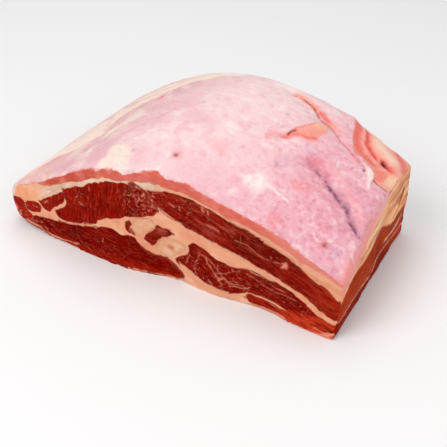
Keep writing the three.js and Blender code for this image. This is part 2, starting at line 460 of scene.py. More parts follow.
def round_ring(ring, flat, fixed):
    """Moves a ring's in-between vertices onto a smooth curve through its turning points."""
    count = len(ring)
    points = [flat_of(v.co, flat) for v in ring]
    turns = [turn_at(points[i - 1], points[i], points[(i + 1) % count]) for i in range(count)]
    keys = [i for i in range(count) if turns[i] > STRAIGHT_TURN]
    if len(keys) < 4:
        return
    size = len(keys)
    reach = [(points[keys[(k + 1) % size]] - points[keys[k]]).length for k in range(size)]

    def heading(k, side):
        """The curve's direction at a turning point; a sharp corner has one for each side."""
        ahead = (points[keys[(k + 1) % size]] - points[keys[k]]) / reach[k]
        behind = (points[keys[k]] - points[keys[k - 1]]) / reach[k - 1]
        if turns[keys[k]] > CORNER_TURN:
            return ahead if side > 0 else behind
        return (ahead * reach[k - 1] + behind * reach[k]) / (reach[k - 1] + reach[k])

    for k in range(size):
        first, last = keys[k], keys[(k + 1) % size]
        start, end = points[first], points[last]
        leave = heading(k, 1) * reach[k]
        arrive = heading((k + 1) % size, -1) * reach[k]
        for i in range(1, (last - first) % count):
            v = ring[(first + i) % count]
            if v in fixed:
                continue
            t = min((points[(first + i) % count] - start).length / reach[k], 1.0)
            moved = (
                start * (2 * t ** 3 - 3 * t ** 2 + 1) + leave * (t ** 3 - 2 * t ** 2 + t)
                + end * (3 * t ** 2 - 2 * t ** 3) + arrive * (t ** 3 - t ** 2)
            )
            v.co[flat[0]], v.co[flat[1]] = moved
    fixed.update(ring)


def height_of(corners):
    """The least height of a flat triangle."""
    longest = max((a - b).length for a in corners for b in corners)
    return 2 * geometry.area_tri(*corners) / max(longest, 1e-9)


def refine(bm, side, fixed, layer):
    """Trades a side's coarse faces for an even fine mesh inside the same border."""
    pending = -1 - SIDES.index(side)
    faces = [f for f in bm.faces if f[layer] == pending]
    if not faces:
        return
    flat = [axis for axis in range(3) if OUTWARD[side][axis] == 0]
    verts = list(dict.fromkeys(v for f in faces for v in f.verts))
    index = {v: i for i, v in enumerate(verts)}
    old = BVHTree.FromPolygons([v.co.copy() for v in verts], [[index[v] for v in f.verts] for f in faces])
    for edge in border_of(faces):
        split_edge(bm, edge, max(1, round(edge.calc_length() / SPACING[side])), layer)
    faces = [f for f in bm.faces if f[layer] == pending]
    rings = rings_of(border_of(faces))
    bmesh.ops.delete(bm, geom=faces, context="FACES_KEEP_BOUNDARY")
    for ring in rings:
        round_ring(ring, flat, fixed)
    outlines = [[[c / MM for c in flat_of(v.co, flat)] for v in ring] for ring in rings]
    inner = even_points(side, flat, rings, outlines, old)
    fill(bm, side, flat, rings, outlines, inner, old, layer)


def even_points(side, flat, rings, outlines, old):
    """A slightly uneven grid of points on a side's old faces, clear of its border."""
    corners = [v.co for ring in rings for v in ring]
    near = kdtree.KDTree(len(corners))
    for i, corner in enumerate(corners):
        near.insert(flat_of(corner, flat).to_3d(), i)
    near.balance()
    low = [min(corner[axis] for corner in corners) for axis in flat]
    high = [max(corner[axis] for corner in corners) for axis in flat]
    dice = random.Random(SEED)
    spacing, away = SPACING[side], OUTWARD[side]
    row_height = spacing * math.sqrt(3) / 2
    points = []
    for row in range(int((high[1] - low[1]) / row_height) + 1):
        for column in range(int((high[0] - low[0]) / spacing) + 2):
            place = Vector((0, 0, 0))
            place[flat[0]] = low[0] + (column + row % 2 / 2 + dice.uniform(-UNEVEN, UNEVEN)) * spacing
            place[flat[1]] = low[1] + (row + dice.uniform(-UNEVEN, UNEVEN)) * row_height
            hit = old.ray_cast(place + away, -away)[0]
            if hit is None or near.find(flat_of(place, flat).to_3d())[2] < CLEAR_OF_BORDER * spacing:
                continue
            points.append(hit)
    spots = np.array([[c / MM for c in flat_of(hit, flat)] for hit in points]).reshape(-1, 2)
    return [hit for hit, inside in zip(points, even_odd(spots, outlines)) if inside]


def fill(bm, side, flat, rings, outlines, inner, old, layer):
    """Fills a border with triangles between its own vertices and the inner points."""
    corners = [v for ring in rings for v in ring]
    borders = len(corners)
    points = [flat_of(place, flat) / MM for place in [v.co for v in corners] + inner]
    edges = []
    for ring in rings:
        start, size = len(edges), len(ring)
        edges += [(start + i, start + (i + 1) % size) for i in range(size)]
    spots, _, triangles, origin, _, _ = geometry.delaunay_2d_cdt(points, edges, [], 0, 1e-5)
    made, on_border = [], []
    for spot, source in zip(spots, origin):
        first = min(source) if source else None
        on_border.append(first is None or first < borders)
        if first is None:
            place = Vector((0, 0, 0))
            place[flat[0]], place[flat[1]] = spot * MM
            made.append(bm.verts.new(old.find_nearest(place)[0]))
        elif first < borders:
            made.append(corners[first])
        else:
            made.append(bm.verts.new(inner[first - borders]))
    doubtful = [t for t in triangles if all(on_border[i] for i in t)]
    centres = np.array([sum((spots[i] for i in t), Vector((0, 0))) / 3 for t in doubtful]).reshape(-1, 2)
    dropped = {
        tuple(t) for t, inside in zip(doubtful, even_odd(centres, outlines))
        if not inside or height_of([spots[i] for i in t]) < SLIVER / MM
    }
    for t in triangles:
        trio = [made[i] for i in t]
        if tuple(t) in dropped or len(set(trio)) < 3 or bm.faces.get(trio):
            continue
        if max((a.co - b.co).length for a in trio for b in trio) < LONGEST_EDGE:
            add_face(bm, trio, OUTWARD[side], layer, SIDES.index(side) + 1)


class Piece:
    """A fine mesh that stands for one CAD node, with its outer vertices laid on the soft hull."""

    def __init__(self, name, bm, everything, hull):
        self.name = name
        layer = bm.faces.layers.int.new("side")
        mark_outer_faces(name, bm, everything, layer)
        fixed = set()
        for side in SIDES:
            refine(bm, side, fixed, layer)
        showing = {v for f in bm.faces if f[layer] > 0 for v in f.verts}
        ears = [f for f in bm.faces if f[layer] == 0 and all(v in showing for v in f.verts)]
        bmesh.ops.delete(bm, geom=ears, context="FACES_ONLY")
        bm.normal_update()
        for edge in bm.edges:
            edge.smooth = len({f[layer] > 0 for f in edge.link_faces}) == 1
        for face in bm.faces:
            face.smooth = True
        self.settle(bm, layer, hull)
        x, y, z = self.place.T
        slope = math.radians(FIBRE_SLOPE.get(name, 0))
        along, across = x * math.cos(slope) + z * math.sin(slope), z * math.cos(slope) - x * math.sin(slope)
        self.fibre = np.column_stack([along, across, y])

    def settle(self, bm, layer, hull):
        """Grows the piece past its hidden borders, then lays its outer vertices on the hull."""
        bm.verts.index_update()
        count = len(bm.verts)
        self.place = np.zeros((count, 3))
        self.normal = np.zeros((count, 3))
        self.on = {side: np.zeros(count, bool) for side in SIDES}
        rim = np.zeros(count, bool)
        for v in bm.verts:
            shown = [f for f in v.link_faces if f[layer] > 0]
            buried = [f for f in v.link_faces if f[layer] == 0]
            sideways = sum((f.normal * f.calc_area() for f in buried), Vector((0, 0, 0)))
            for face in shown:
                self.on[SIDES[face[layer] - 1]][v.index] = True
            rim[v.index] = bool(shown and buried)
            self.place[v.index] = v.co + sideways.normalized() * GROW
        self.shown = np.any(list(self.on.values()), axis=0)
        start = self.place / MM
        drift = np.column_stack([
            WAVER * rough(start, WAVER_SIZE, 81 + axis)
            + FINE_WAVER * rough(start, FINE_WAVER_SIZE, 84 + axis)
            for axis in range(3)
        ])
        proud = 0 if self.name == "fat" else PROUD
        for i in np.flatnonzero(self.shown):
            place, normal, _, _ = hull.find_nearest(Vector(self.place[i] + drift[i]))
            self.normal[i] = normal
            self.place[i] = place + normal * proud
        self.place /= MM
        self.inward = self.depth_from(np.flatnonzero(rim))
        self.mesh = bpy.data.meshes.new(self.name + "_fine")
        bm.to_mesh(self.mesh)
        bm.free()

    def depth_from(self, rim):
        """How far each vertex lies from the piece's own border, in millimetres."""
        tree = kdtree.KDTree(len(rim))
        for i in rim:
            tree.insert(Vector(self.place[i]), int(i))
        tree.balance()
        away = np.zeros(len(self.place))
        for i in np.flatnonzero(self.shown):
            away[i] = tree.find(Vector(self.place[i]))[2]
        return away

    def raise_by(self, height):
        """Moves shown vertices along the hull's normal, in millimetres, easing off towards the CAD box."""
        gap = np.where(self.normal > 0, HIGH_CORNER - self.place, self.place - LOW_CORNER)
        room = (gap / np.maximum(np.abs(self.normal), 1e-6)).min(axis=1)
        eased = np.where(height > 0, ease_into(room, height), height)
        self.place += self.normal * np.where(self.shown, eased, 0)[:, None]

    def store(self, name, values):
        """Writes numbers, directions or colours for each vertex as an attribute of the mesh."""
        if values.ndim == 1:
            attribute = self.mesh.attributes.new(name, "FLOAT", "POINT")
            attribute.data.foreach_set("value", values.astype(float))
        elif name == "Fibre":
            attribute = self.mesh.attributes.new(name, "FLOAT_VECTOR", "POINT")
            attribute.data.foreach_set("vector", values.ravel())
        else:
            attribute = self.mesh.attributes.new(name, "FLOAT_COLOR", "POINT")
            full = np.column_stack([np.clip(values, 0, 1), np.ones(len(values))])
            attribute.data.foreach_set("color", full.ravel())

    def finish(self, paint, extras, material):
        """Writes the mesh with its painted colours, attaches the piece to the root body and hides the CAD
        node it stands for.
        """
        self.place = np.clip(self.place, LOW_CORNER, HIGH_CORNER)
        self.mesh.vertices.foreach_set("co", (self.place * MM).ravel())
        for key, values in {"Paint": paint, "Fibre": self.fibre, **extras}.items():
            self.store(key, values)
        self.mesh.update()
        self.mesh.materials.append(material)
        piece = bpy.data.objects.new(self.name + "_fine", self.mesh)
        bpy.context.scene.collection.objects.link(piece)
        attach(piece, "root")
        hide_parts(self.name)


def ease_into(room, height):
    """A height that never quite fills the room it has."""
    room = np.maximum(room, 1e-6)
    return room * (1 - np.exp(-height / room))


# Lines and patches on the top
SLIT = [
    (202, 56), (206, 54.5), (210, 53), (217, 50), (225, 45), (231, 43), (238, 39), (243, 33.4),
    (248, 30.4), (252.6, 27.8),
]
SLIT_SHADE = [(232, 43), (237.5, 41), (242, 37), (247, 32.4), (252, 28)]
SLIT_START = [(203, 57.5), (210, 57), (216, 53.5)]
SLIT_RIDGE = [(214, 62), (222, 58), (230, 53), (237, 47.5), (242, 43.5), (249, 39)]
CREASE = [(159, 114), (165, 112.5), (171, 111), (177, 109), (182, 105), (188, 99), (192, 97), (197, 97)]
CREASE_TAIL = [(197, 97), (202, 94.5), (209, 89.5), (216, 86.5), (222, 81)]
CREASE_END = [(222, 81), (228, 78)]
CREASE_FILL = [(163, 115), (174, 110.5), (181, 107.5), (187, 104), (194, 100.5), (201, 97.5)]
FLAP_TOP = [(183, 71.5), (186, 77), (191, 87.5)]
FLAP_FOOT = [(198, 75), (194, 71), (190, 69.4), (184, 68.6)]
FLAP = [(180.5, 65)] + FLAP_TOP + [(195, 92), (197, 96.4), (200, 86)] + FLAP_FOOT
FLAP_PALE = [(193, 88), (197, 93)]
FLAP_SLIT = [(184.6, 71.6), (182.4, 69.6), (181.8, 67)]
FLAP_SORE = [(180, 63), (182.4, 66)]
TRIM_LINE = [(242, 70.6), (245.4, 70.2), (249.4, 70.6), (253, 71.4)]
TRIM_EDGE = [
    (200, 130), (203, 122), (208, 111), (214, 98), (219, 89), (223, 83.5), (227, 84.5), (231, 80.6),
    (235.4, 81), (239, 76.6), (241.6, 70),
] + TRIM_LINE[1:]
TRIM_REACH = 266
TRIM_BACK = 136
TRIM_RED = [(207, 122), (211, 111), (215, 102), (223, 92), (233, 87.5)]
TRIM_DEEP_RED = [(216, 119), (221, 107.5), (227, 100.7), (232, 97)]
TRIM_PALE_LINE = [(212, 121), (219, 105), (227, 95), (235, 94)]
TRIM_CREAM = [(222, 124), (228.5, 113), (236, 108.5), (241.6, 105)]
TRIM_FAR_RED = [(236, 126), (241, 118), (246, 113), (251, 104)]
TRIM_HOLE = [(237.6, 97.6), (240.4, 96.4), (244, 94.4)]
FLAKE = [
    (233, 77.6), (236, 78), (239.4, 75.6), (241, 71), (241.8, 66), (243, 61.4), (242, 59.8),
    (240.4, 63), (238.6, 68), (236.4, 71.6),
]
FLAKE_BITS = [(224.6, 83), (227, 81.4), (229.4, 79.6), (233, 78)]
FLAKE_PIT = (233.4, 73.4)
SPOTS = [((77.4, 71.6), 0.6), ((133.4, 9), 1.0), ((238.8, 9.8), 1.0)]
FAINT_SPOTS = [(104.7, 1.6), (189, 38.4), (175.4, 70.2), (248, 9.6), (172, 84), (96, 44), (120, 62)]


def trim_share(flat):
    """1 in the back right corner where the membrane is trimmed off."""
    return area(TRIM_EDGE + [(TRIM_REACH, TRIM_EDGE[-1][1]), (TRIM_REACH, TRIM_BACK)], flat, 0.7)


# Relief: low waves in layers of height, size, seed and octaves, and marks of height, line and half width
CUT_WAVES = [(0.45, 16, 11, 1), (0.2, 5.5, 12, 1)]
TOP_WAVES = [(0.45, 24, 15, 1), (0.2, 7, 16, 2), (0.06, 2.6, 17, 1)]
TOP_RELIEF = [
    (-0.9, SLIT, 1.2), (0.3, SLIT_RIDGE, 2.5), (-0.9, CREASE, 1.1), (-0.5, CREASE_TAIL, 0.9),
    (-0.9, FLAP_SLIT, 0.7), (0.5, TRIM_EDGE, 1.4), (-1.8, TRIM_HOLE, 1.4), (-0.9, TRIM_LINE, 0.8),
    (-1.2, [FLAKE_PIT], 1.0),
] + [(-0.4, [spot], 1.2 * size) for spot, size in SPOTS]
TRIM_RELIEF = [(0.7, TRIM_CREAM, 5), (-0.7, TRIM_DEEP_RED, 2), (0.4, TRIM_PALE_LINE, 1)]

# Heights and depths of single forms, and of the swell, bundles and lumps of each tissue
FLAP_HEIGHT = 0.5
FLAKE_HEIGHT = 0.9
FLAKE_BIT_HEIGHT = 0.5
TRIM_DEPTH = 0.5
MUSCLE_SWELL = 0.3
BUNDLE_HEIGHT = 0.16
FAT_LUMP_HEIGHT = 0.3

# Swells at the left nose and at the far edge of the top: height, centre and half size
NOSE_SWELL = (3.0, (2, 25), (15, 12))
NOSE_BACK = (10, 35)
FAR_SWELLS = [(2.4, (210, 120), (13, 13)), (1.2, (186, 122), (24, 16))]

# Height of the lip at the left, by place along the cut face; below it the chunk draws in
LIP_HEIGHT = [
    (0, 7.2), (8, 6.4), (14, 4.2), (20, 3.6), (27, 3.6), (34, 1.6), (40, 0.2), (46, 0.4), (52, 1.6),
    (58, 1.2), (64, 0),
]
LIP_SLOPE = 1.5
LIP_END_REACH = 40

# How far the foot of the cut face swells out, by place along it
FOOT_SWELL = [(60, 0), (68, 2), (98, 2), (116, 1.4), (136, 0), (212, 0), (226, 2.4), (240, 3), (258, 2)]
FOOT_HEIGHT = 11


def waves(place, layers):
    """Uneven waves made of several layers of noise."""
    return sum(height * rough(place, size, seed, octaves) for height, size, seed, octaves in layers)


def ridges(marks, flat):
    """The height of raised lines and, below zero, of grooves."""
    return sum(height * groove(line, flat, width) for height, line, width in marks)


def swells(rows, flat):
    """The height of soft, oval swells."""
    return sum(height * patch(centre, size, flat, 0.8) for height, centre, size in rows)


def shared_relief(piece):
    """Low waves of a hand-cut chunk and its round nose, alike for all pieces, so neighbours stay flush."""
    cut = np.any([piece.on[side] for side in CUT_SIDES], axis=0) & ~piece.on["top"]
    back = plan_of(piece.place)[:, 1]
    nose = swells([NOSE_SWELL], face_of(piece.place)) * (1 - step(*NOSE_BACK, back))
    return np.where(cut, waves(piece.place, CUT_WAVES), 0) + nose


def lean_relief(piece):
    """Muscle swells a little between its borders and shows its bundles."""
    swell = MUSCLE_SWELL * step(0, 5, piece.inward)
    bundles = BUNDLE_HEIGHT * rough(piece.fibre, 1.8, 13, 2, (3, 1, 2))
    return shared_relief(piece) + (swell + bundles) * step(0.4, 2, piece.inward)


def fat_relief(piece):
    """Fat is smoother, with soft lumps."""
    lumps = FAT_LUMP_HEIGHT * rough(piece.place, 7, 14, 2)
    return shared_relief(piece) + lumps * step(0.6, 3, piece.inward)


def skin_relief(piece):
    """The top's slit, crease, flap, flake and trimmed corner, with soft waves between."""
    place = piece.place
    plan = plan_of(place)
    flat = shaken(plan, place, 0.7, 4, 18)
    bits = stroke(FLAKE_BITS, flat, 0.8, 0.8) * step(-0.4, 0.2, rough(place, 2.4, 20))
    raised = FLAP_HEIGHT * area(FLAP, flat, 1.0) + FLAKE_HEIGHT * area(FLAKE, flat, 0.6)
    raised += FLAKE_BIT_HEIGHT * bits
    trimmed = trim_share(flat) * (ridges(TRIM_RELIEF, flat) - TRIM_DEPTH)
    far_edge = swells(FAR_SWELLS, plan)
    top = waves(place, TOP_WAVES) + ridges(TOP_RELIEF, flat) + raised + trimmed + far_edge
    return shared_relief(piece) + np.where(piece.on["top"], top, 0)


def shape_foot(piece):
    """Draws the lower edge in below the left lip and swells the foot further right, alike for all pieces."""
    along, back = plan_of(piece.place).T
    up = piece.place[:, 2]
    tuck = LIP_SLOPE * np.maximum(level(LIP_HEIGHT, along) - up, 0)
    swell = level(FOOT_SWELL, along) * (1 - step(0, FOOT_HEIGHT, up))
    swell = ease_into(piece.place[:, 1] - LOW_CORNER[1], swell)
    piece.place[:, 1] += np.where(piece.on["front"], tuck - swell, 0)
    end_tuck = LIP_SLOPE * np.maximum(LIP_HEIGHT[0][1] - up, 0) * (1 - step(0, LIP_END_REACH, back))
    piece.place[:, 0] += np.where(piece.on["left"], end_tuck, 0)


# Materials: colours in 0..255, and one tint that multiplies the colour below it

FAT_THREAD = (234, 146, 118)
DEEP_RED = (78, 2, 0)
LIT_RED = (194, 62, 40)
BORDER_RED = (194, 92, 66)
FILM_PALE = (255, 238, 234)
FILM_LINE = (255, 240, 236)
FILM_ROSY = (0.96, 0.8, 0.82)
SALMON_PALE = (246, 168, 152)
SALMON_DARK = (186, 66, 50)


class Finish:
    """A Principled material, the constant parts of its finish set, with short ways to add shader nodes."""

    def __init__(self, name, roughness, subsurface, specular):
        self.material = bpy.data.materials.new(name)
        self.material.use_nodes = True
        self.tree = self.material.node_tree
        self.shader = self.tree.nodes["Principled BSDF"]
        for socket, value in {
            "Roughness": roughness,
            "Subsurface Weight": subsurface,
            "Subsurface Radius": (1.0, 0.35, 0.25),
            "Subsurface Scale": 2.0 * MM,
            "Specular IOR Level": specular,
        }.items():
            self.shader.inputs[socket].default_value = value

    def add(self, kind, inputs, **settings):
        """A new node with its settings, each input given a constant or linked to another node's output."""
        node = self.tree.nodes.new("ShaderNode" + kind)
        for key, value in settings.items():
            setattr(node, key, value)
        for socket, value in inputs.items():
            if isinstance(value, bpy.types.NodeSocket):
                self.tree.links.new(value, node.inputs[socket])
            else:
                node.inputs[socket].default_value = value
        return node.outputs

    def use(self, socket, value):
        """Feeds a node's output to the shader."""
        self.tree.links.new(value, self.shader.inputs[socket])

    @cached_property
    def millimetres(self):
        return self.vector("SCALE", self.add("TexCoord", {})["Object"], Scale=1 / MM)

    def vector(self, operation, first, second=(0, 0, 0), **inputs):
        return self.add("VectorMath", {0: first, 1: second, **inputs}, operation=operation)[0]

    def maths(self, operation, first, second):
        return self.add("Math", {0: first, 1: second}, operation=operation)[0]

    def centred_noise(self, size):
        """A direction that wanders about zero."""
        return self.vector("SUBTRACT", self.noise(size, output="Color"), (0.5, 0.5, 0.5))

    def cells(self, at, size, stretch):
        """Places counted in stretched lumps of the given size."""
        return self.vector("MULTIPLY", at, tuple(1 / (size * s) for s in stretch))

    def noise(self, size, stretch=(1, 1, 1), detail=2.0, at=None, output="Fac"):
        """Noise with lumps of about the given size in millimetres."""
        inputs = {"Vector": self.cells(at or self.millimetres, size, stretch)}
        inputs.update({"Scale": 1.0, "Detail": detail, "Roughness": 0.55})
        return self.add("TexNoise", inputs)[output]

    def web(self, size, stretch, warp, at=None):
        """Distance from the lines of an uneven web with cells of about the given size."""
        wander = self.vector("SCALE", self.centred_noise(size * 1.3), Scale=warp)
        moved = self.vector("ADD", at or self.millimetres, wander)
        inputs = {"Vector": self.cells(moved, size, stretch), "Scale": 1.0}
        return self.add("TexVoronoi", inputs, feature="DISTANCE_TO_EDGE")["Distance"]

    def between(self, value, low, high, to_low=0.0, to_high=1.0):
        """Runs smoothly from one number to another as a value goes from low to high."""
        inputs = {"Value": value, "From Min": low, "From Max": high, "To Min": to_low, "To Max": to_high}
        return self.add("MapRange", inputs, interpolation_type="SMOOTHSTEP")["Result"]

    def attribute(self, name, output="Fac"):
        return self.add("Attribute", {}, attribute_name=name)[output]

    def mix(self, share, first, second, kind="MIX"):
        """Lays a second colour, a node's output or sRGB numbers, over a first one."""
        if isinstance(second, tuple):
            second = (*(second if kind == "MULTIPLY" else srgb(*second)), 1.0)
        return self.add("Mix", {0: share, 6: first, 7: second}, data_type="RGBA", blend_type=kind)[2]

    def shaken(self, value, size, amount):
        """A distance made uneven by fine noise."""
        lumps = self.maths("SUBTRACT", self.noise(size, detail=3.0), 0.5)
        return self.maths("ADD", value, self.maths("MULTIPLY", lumps, amount))

    def bump(self, first, second, strength):
        """Fine relief from two noises."""
        inputs = {"Height": self.maths("ADD", first, second), "Strength": strength, "Distance": 0.6 * MM}
        self.use("Normal", self.add("Bump", inputs)["Normal"])


def lean_material(name, marbling):
    """Moist lean: painted colour, fibre bundles, and fat specks and threads where the Marble paint asks; the
    specks also stand in as painted glints.
    """
    make = Finish(name, 0.4, 0.05, 0.004)
    fibre = make.attribute("Fibre", "Vector")
    lean = make.attribute("Lean")
    colour = make.attribute("Paint", "Color")
    bundle = make.noise(2.6, (4, 1, 3), 2.0, fibre)
    streak = make.noise(0.9, (7, 1, 5), 3.0, fibre)
    grain = make.noise(0.7)
    for share, tint in (
        (make.between(bundle, 0.42, 0.66, 0.0, 0.55), DEEP_RED),
        (make.between(streak, 0.48, 0.72, 0.0, 0.45), LIT_RED),
        (make.between(grain, 0.45, 0.7, 0.0, 0.35), DEEP_RED),
    ):
        colour = make.mix(make.maths("MULTIPLY", share, lean), colour, tint)
    web = make.web(4.6, (2.0, 1.0, 1.6), 4.5, fibre)
    broken = make.between(make.noise(5.0), 0.5, 0.6)
    threads = make.maths("MULTIPLY", make.between(web, 0.01, 0.06, 0.6, 0.0), broken)
    # Pale specks: fat flecks that also stand in as painted wet glints
    specks_and_glints = make.between(make.noise(1.1, (1.8, 1.0, 1.0), 1.0, fibre), 0.62, 0.72, 0.0, 0.5)
    fat = make.maths("MULTIPLY", make.maths("MAXIMUM", threads, specks_and_glints), make.attribute("Marble"))
    colour = make.mix(make.maths("MULTIPLY", fat, marbling), colour, FAT_THREAD)
    frayed = make.between(make.shaken(make.attribute("Inward"), 1.6, 2.6), -0.3, 0.9, 0.6, 0.0)
    make.use("Base Color", make.mix(frayed, colour, BORDER_RED))
    wet = make.noise(2.2, detail=3.0)
    make.use("Roughness", make.between(wet, 0.3, 0.7, 0.25, 0.5))
    make.bump(streak, wet, 0.5)
    return make.material


def pale_material(name, roughness, mottle):
    """Fat or cartilage: painted colour with soft mottling, frayed red at its borders."""
    make = Finish(name, roughness, 0.15, 0.03)
    colour = make.attribute("Paint", "Color")
    fine = make.noise(1.1, detail=3.0)
    broad = make.noise(4.5, detail=3.0)
    dark = make.mix(1.0, colour, mottle, "MULTIPLY")
    colour = make.mix(make.between(make.mix(0.5, fine, broad), 0.42, 0.62), colour, dark)
    frayed = make.between(make.shaken(make.attribute("Inward"), 1.5, 2.6), -0.3, 0.8, 0.6, 0.0)
    make.use("Base Color", make.mix(frayed, colour, BORDER_RED))
    make.use("Roughness", make.between(fine, 0.3, 0.7, roughness - 0.1, roughness + 0.12))
    make.bump(fine, broad, 0.3)
    return make.material


def skin_material(name):
    """Thin membrane, satin and finely wrinkled, that ends at a ragged rim with salmon lean below."""
    make = Finish(name, 0.45, 0.15, 0.07)
    fine = make.noise(0.8, (1.6, 1.0, 1.0), 3.0)
    broad = make.noise(3.4, (1.8, 1.0, 1.0), 3.0)
    bend = make.vector("SCALE", make.centred_noise(16.0), Scale=26.0)
    wrinkle = make.noise(1.1, (5, 1.0, 1.0), 2.0, make.vector("ADD", make.millimetres, bend))
    film = make.attribute("Paint", "Color")
    rosy = make.mix(1.0, film, FILM_ROSY, "MULTIPLY")
    film = make.mix(make.between(fine, 0.45, 0.7, 0.0, 0.6), film, rosy)
    film = make.mix(make.between(broad, 0.5, 0.68, 0.0, 0.6), film, rosy)
    film = make.mix(make.between(wrinkle, 0.54, 0.7, 0.0, 0.4), film, rosy)
    film = make.mix(make.between(wrinkle, 0.3, 0.44, 0.16, 0.0), film, FILM_PALE)
    web = make.between(make.web(5.5, (2.2, 1.0, 1.0), 6.0), 0.01, 0.07, 0.12, 0.0)
    film = make.mix(make.maths("MULTIPLY", web, make.between(broad, 0.4, 0.55)), film, FILM_LINE)
    lean = make.attribute("Under", "Color")
    streak = make.noise(0.8, (9, 3, 1), 3.0)
    lean = make.mix(make.between(streak, 0.5, 0.74, 0.0, 0.35), lean, SALMON_PALE)
    lean = make.mix(make.between(streak, 0.28, 0.46, 0.35, 0.0), lean, SALMON_DARK)
    torn = make.shaken(make.shaken(make.attribute("Rim"), 2.4, 2.0), 0.7, 1.6)
    make.use("Base Color", make.mix(make.between(torn, -0.55, 0.55), lean, film))
    make.use("Roughness", make.between(fine, 0.3, 0.7, 0.34, 0.56))
    make.bump(fine, broad, 0.3)
    return make.material


# Paint on the top: colours of the membrane and of what shows past it

MEMBRANE = (246, 216, 216)
WHITE = (254, 240, 232)
CREAM = (246, 228, 216)
BLUSH = (242, 136, 144)
PEACH = (240, 190, 172)
BLUISH = (204, 168, 194)
LILAC = (226, 172, 184)
ROSE = (234, 182, 188)
HEM = (250, 148, 134)
SALMON = (220, 104, 86)

# The inner edge of the cream rim along the far left outline, and what closes the rim's outline
FAR_RIM = [
    (12, -12), (19, -1), (25, 13), (42, 16), (57, 27), (55, 44), (58, 61), (74, 76), (88, 95),
    (100, 105), (116, 118),
]
FAR_RIM_OUTSIDE = [(116, 145), (-12, 145), (-12, -12)]
FAR_RIM_BLUSH = [(42, 57), (53, 37)]
WRINKLES = [
    [(61.5, 23.5), (61, 28.5), (62.5, 33.6)], [(36.6, 18.8), (38, 21)], [(68, 0.6), (70, 5), (76, 9)],
    [(90, 6.2), (92.6, 11.6), (97.3, 16)], [(63, 55), (66.5, 63.7), (70.6, 71)],
    [(91, 35), (100, 36.4), (101, 44), (105, 51)], [(72, 22), (75, 30), (82, 36)],
    [(66, 36), (71, 46), (76, 56)], [(84, 18), (90, 26), (95, 30)],
]
WHITE_LINE = [(186.7, 21.6), (194.4, 23.3), (200.9, 21.5), (206.1, 20)]

# Uneven patches of the membrane: colour, share, then each centre and half size
PATCHES = [
    (ROSE, 0.55, [((95, 34), (14, 11)), ((112, -2), (9, 8)), ((102, 58), (16, 9)), ((128, 44), (14, 8))]),
    (LILAC, 0.6, [((79, 0), (9, 15)), ((51, -6), (7, 8)), ((66, 14), (6, 5))]),
    (CREAM, 0.75, [((74, 40), (6, 15)), ((66, 26), (4, 6)), ((28, 44), (8, 16))]),
    (CREAM, 0.9, [((92, 1), (7, 6)), ((99, -5), (7.5, 9)), ((100, -12), (9, 5)), ((90, -9), (4, 6))]),
    (WHITE, 0.9, [((184, 21), (8, 6)), ((254, 14), (1.5, 1.2))]),
    (WHITE, 0.6, [
        ((14, 64), (7, 11)), ((110, 118), (10, 6)), ((152, 121), (9, 5)), ((80, 120), (8, 6)),
        ((243, 14), (4, 1)), ((233, 11), (4, 1)),
    ]),
    (BLUSH, 0.5, [((208, 34), (6, 4)), ((173, 59), (3, 6)), ((78, 70), (3, 5)), ((207, 6), (5, 4))]),
    (BLUSH, 0.3, [((216, 38), (8, 4)), ((232, 19), (5, 3)), ((150, 30), (8, 5))]),
    (PEACH, 0.5, [((20, -8), (16, 10))]),
    (BLUISH, 0.3, [((190, 42), (5, 6)), ((246, 9), (5, 4)), ((200, 62), (6, 5))]),
]

# Marks on the top: colour, share, line, half width, then for some the range of grain that breaks them up
CUTS_AND_SLIT_SHADE = [
    ((226, 118, 132), 0.6, SLIT_START, 3.4),
    # On the slit, every row but the pale ridge is painted shade in its groove
    ((206, 136, 158), 0.6, SLIT, 2.6),
    ((250, 172, 180), 0.6, SLIT_RIDGE, 1.8),
    ((204, 104, 124), 0.6, SLIT[:3], 1.8, -0.6, 0.3),
    ((168, 112, 138), 0.55, SLIT_SHADE, 1.6, -0.7, 0.3),
    ((104, 52, 84), 0.85, SLIT[2:], 0.8, -0.8, 0.2),
    ((110, 60, 92), 0.7, SLIT[2:5], 2.0, 0.0, 0.5),
    ((248, 150, 124), 0.75, CREASE_FILL, 2.6),
    ((238, 96, 96), 0.7, CREASE_FILL[3:5], 2.4),
    ((176, 52, 44), 0.9, CREASE, 0.8, -0.8, 0.2),
    ((206, 92, 98), 0.7, CREASE_TAIL, 0.7),
]
FLAP_MARKS = [
    ((226, 92, 84), 0.5, FLAP_TOP, 0.8),
    ((240, 112, 104), 0.75, FLAP_FOOT, 1.6),
    ((240, 116, 104), 0.8, FLAP_SORE, 2.4),
    # The flap's dark slit is painted shade
    ((96, 14, 16), 0.95, FLAP_SLIT, 0.5),
]
TRIM_MARKS = [
    ((238, 108, 100), 0.9, TRIM_RED, 4.0),
    ((232, 58, 60), 0.9, TRIM_DEEP_RED, 2.2),
    ((250, 178, 164), 0.8, TRIM_PALE_LINE, 0.9),
    ((252, 214, 190), 0.95, TRIM_CREAM, 5.0),
    ((236, 104, 96), 0.85, TRIM_FAR_RED, 3.2),
]
HOLE_MARKS = [
    ((232, 60, 58), 0.85, TRIM_HOLE, 3.0),
    # The hole's dark centre is painted shade
    ((70, 8, 8), 0.95, TRIM_HOLE[:2], 1.2),
    ((110, 30, 28), 0.9, TRIM_LINE, 0.8),
    ((236, 116, 116), 0.6, CREASE_END, 1.4),
]
# The pit's dark colour is painted shade in its hollow
SPOT_MARKS = [((84, 30, 36), 0.95, [FLAKE_PIT], 1.0)]
for spot, size in SPOTS:
    SPOT_MARKS.append(((230, 118, 128), 0.6, [spot], 3.4 * size))
    SPOT_MARKS.append(((150, 30, 44), 0.9, [spot], 1.4 * size))
SPOT_MARKS += [((186, 128, 158), 0.5, [spot], 1.2) for spot in FAINT_SPOTS]

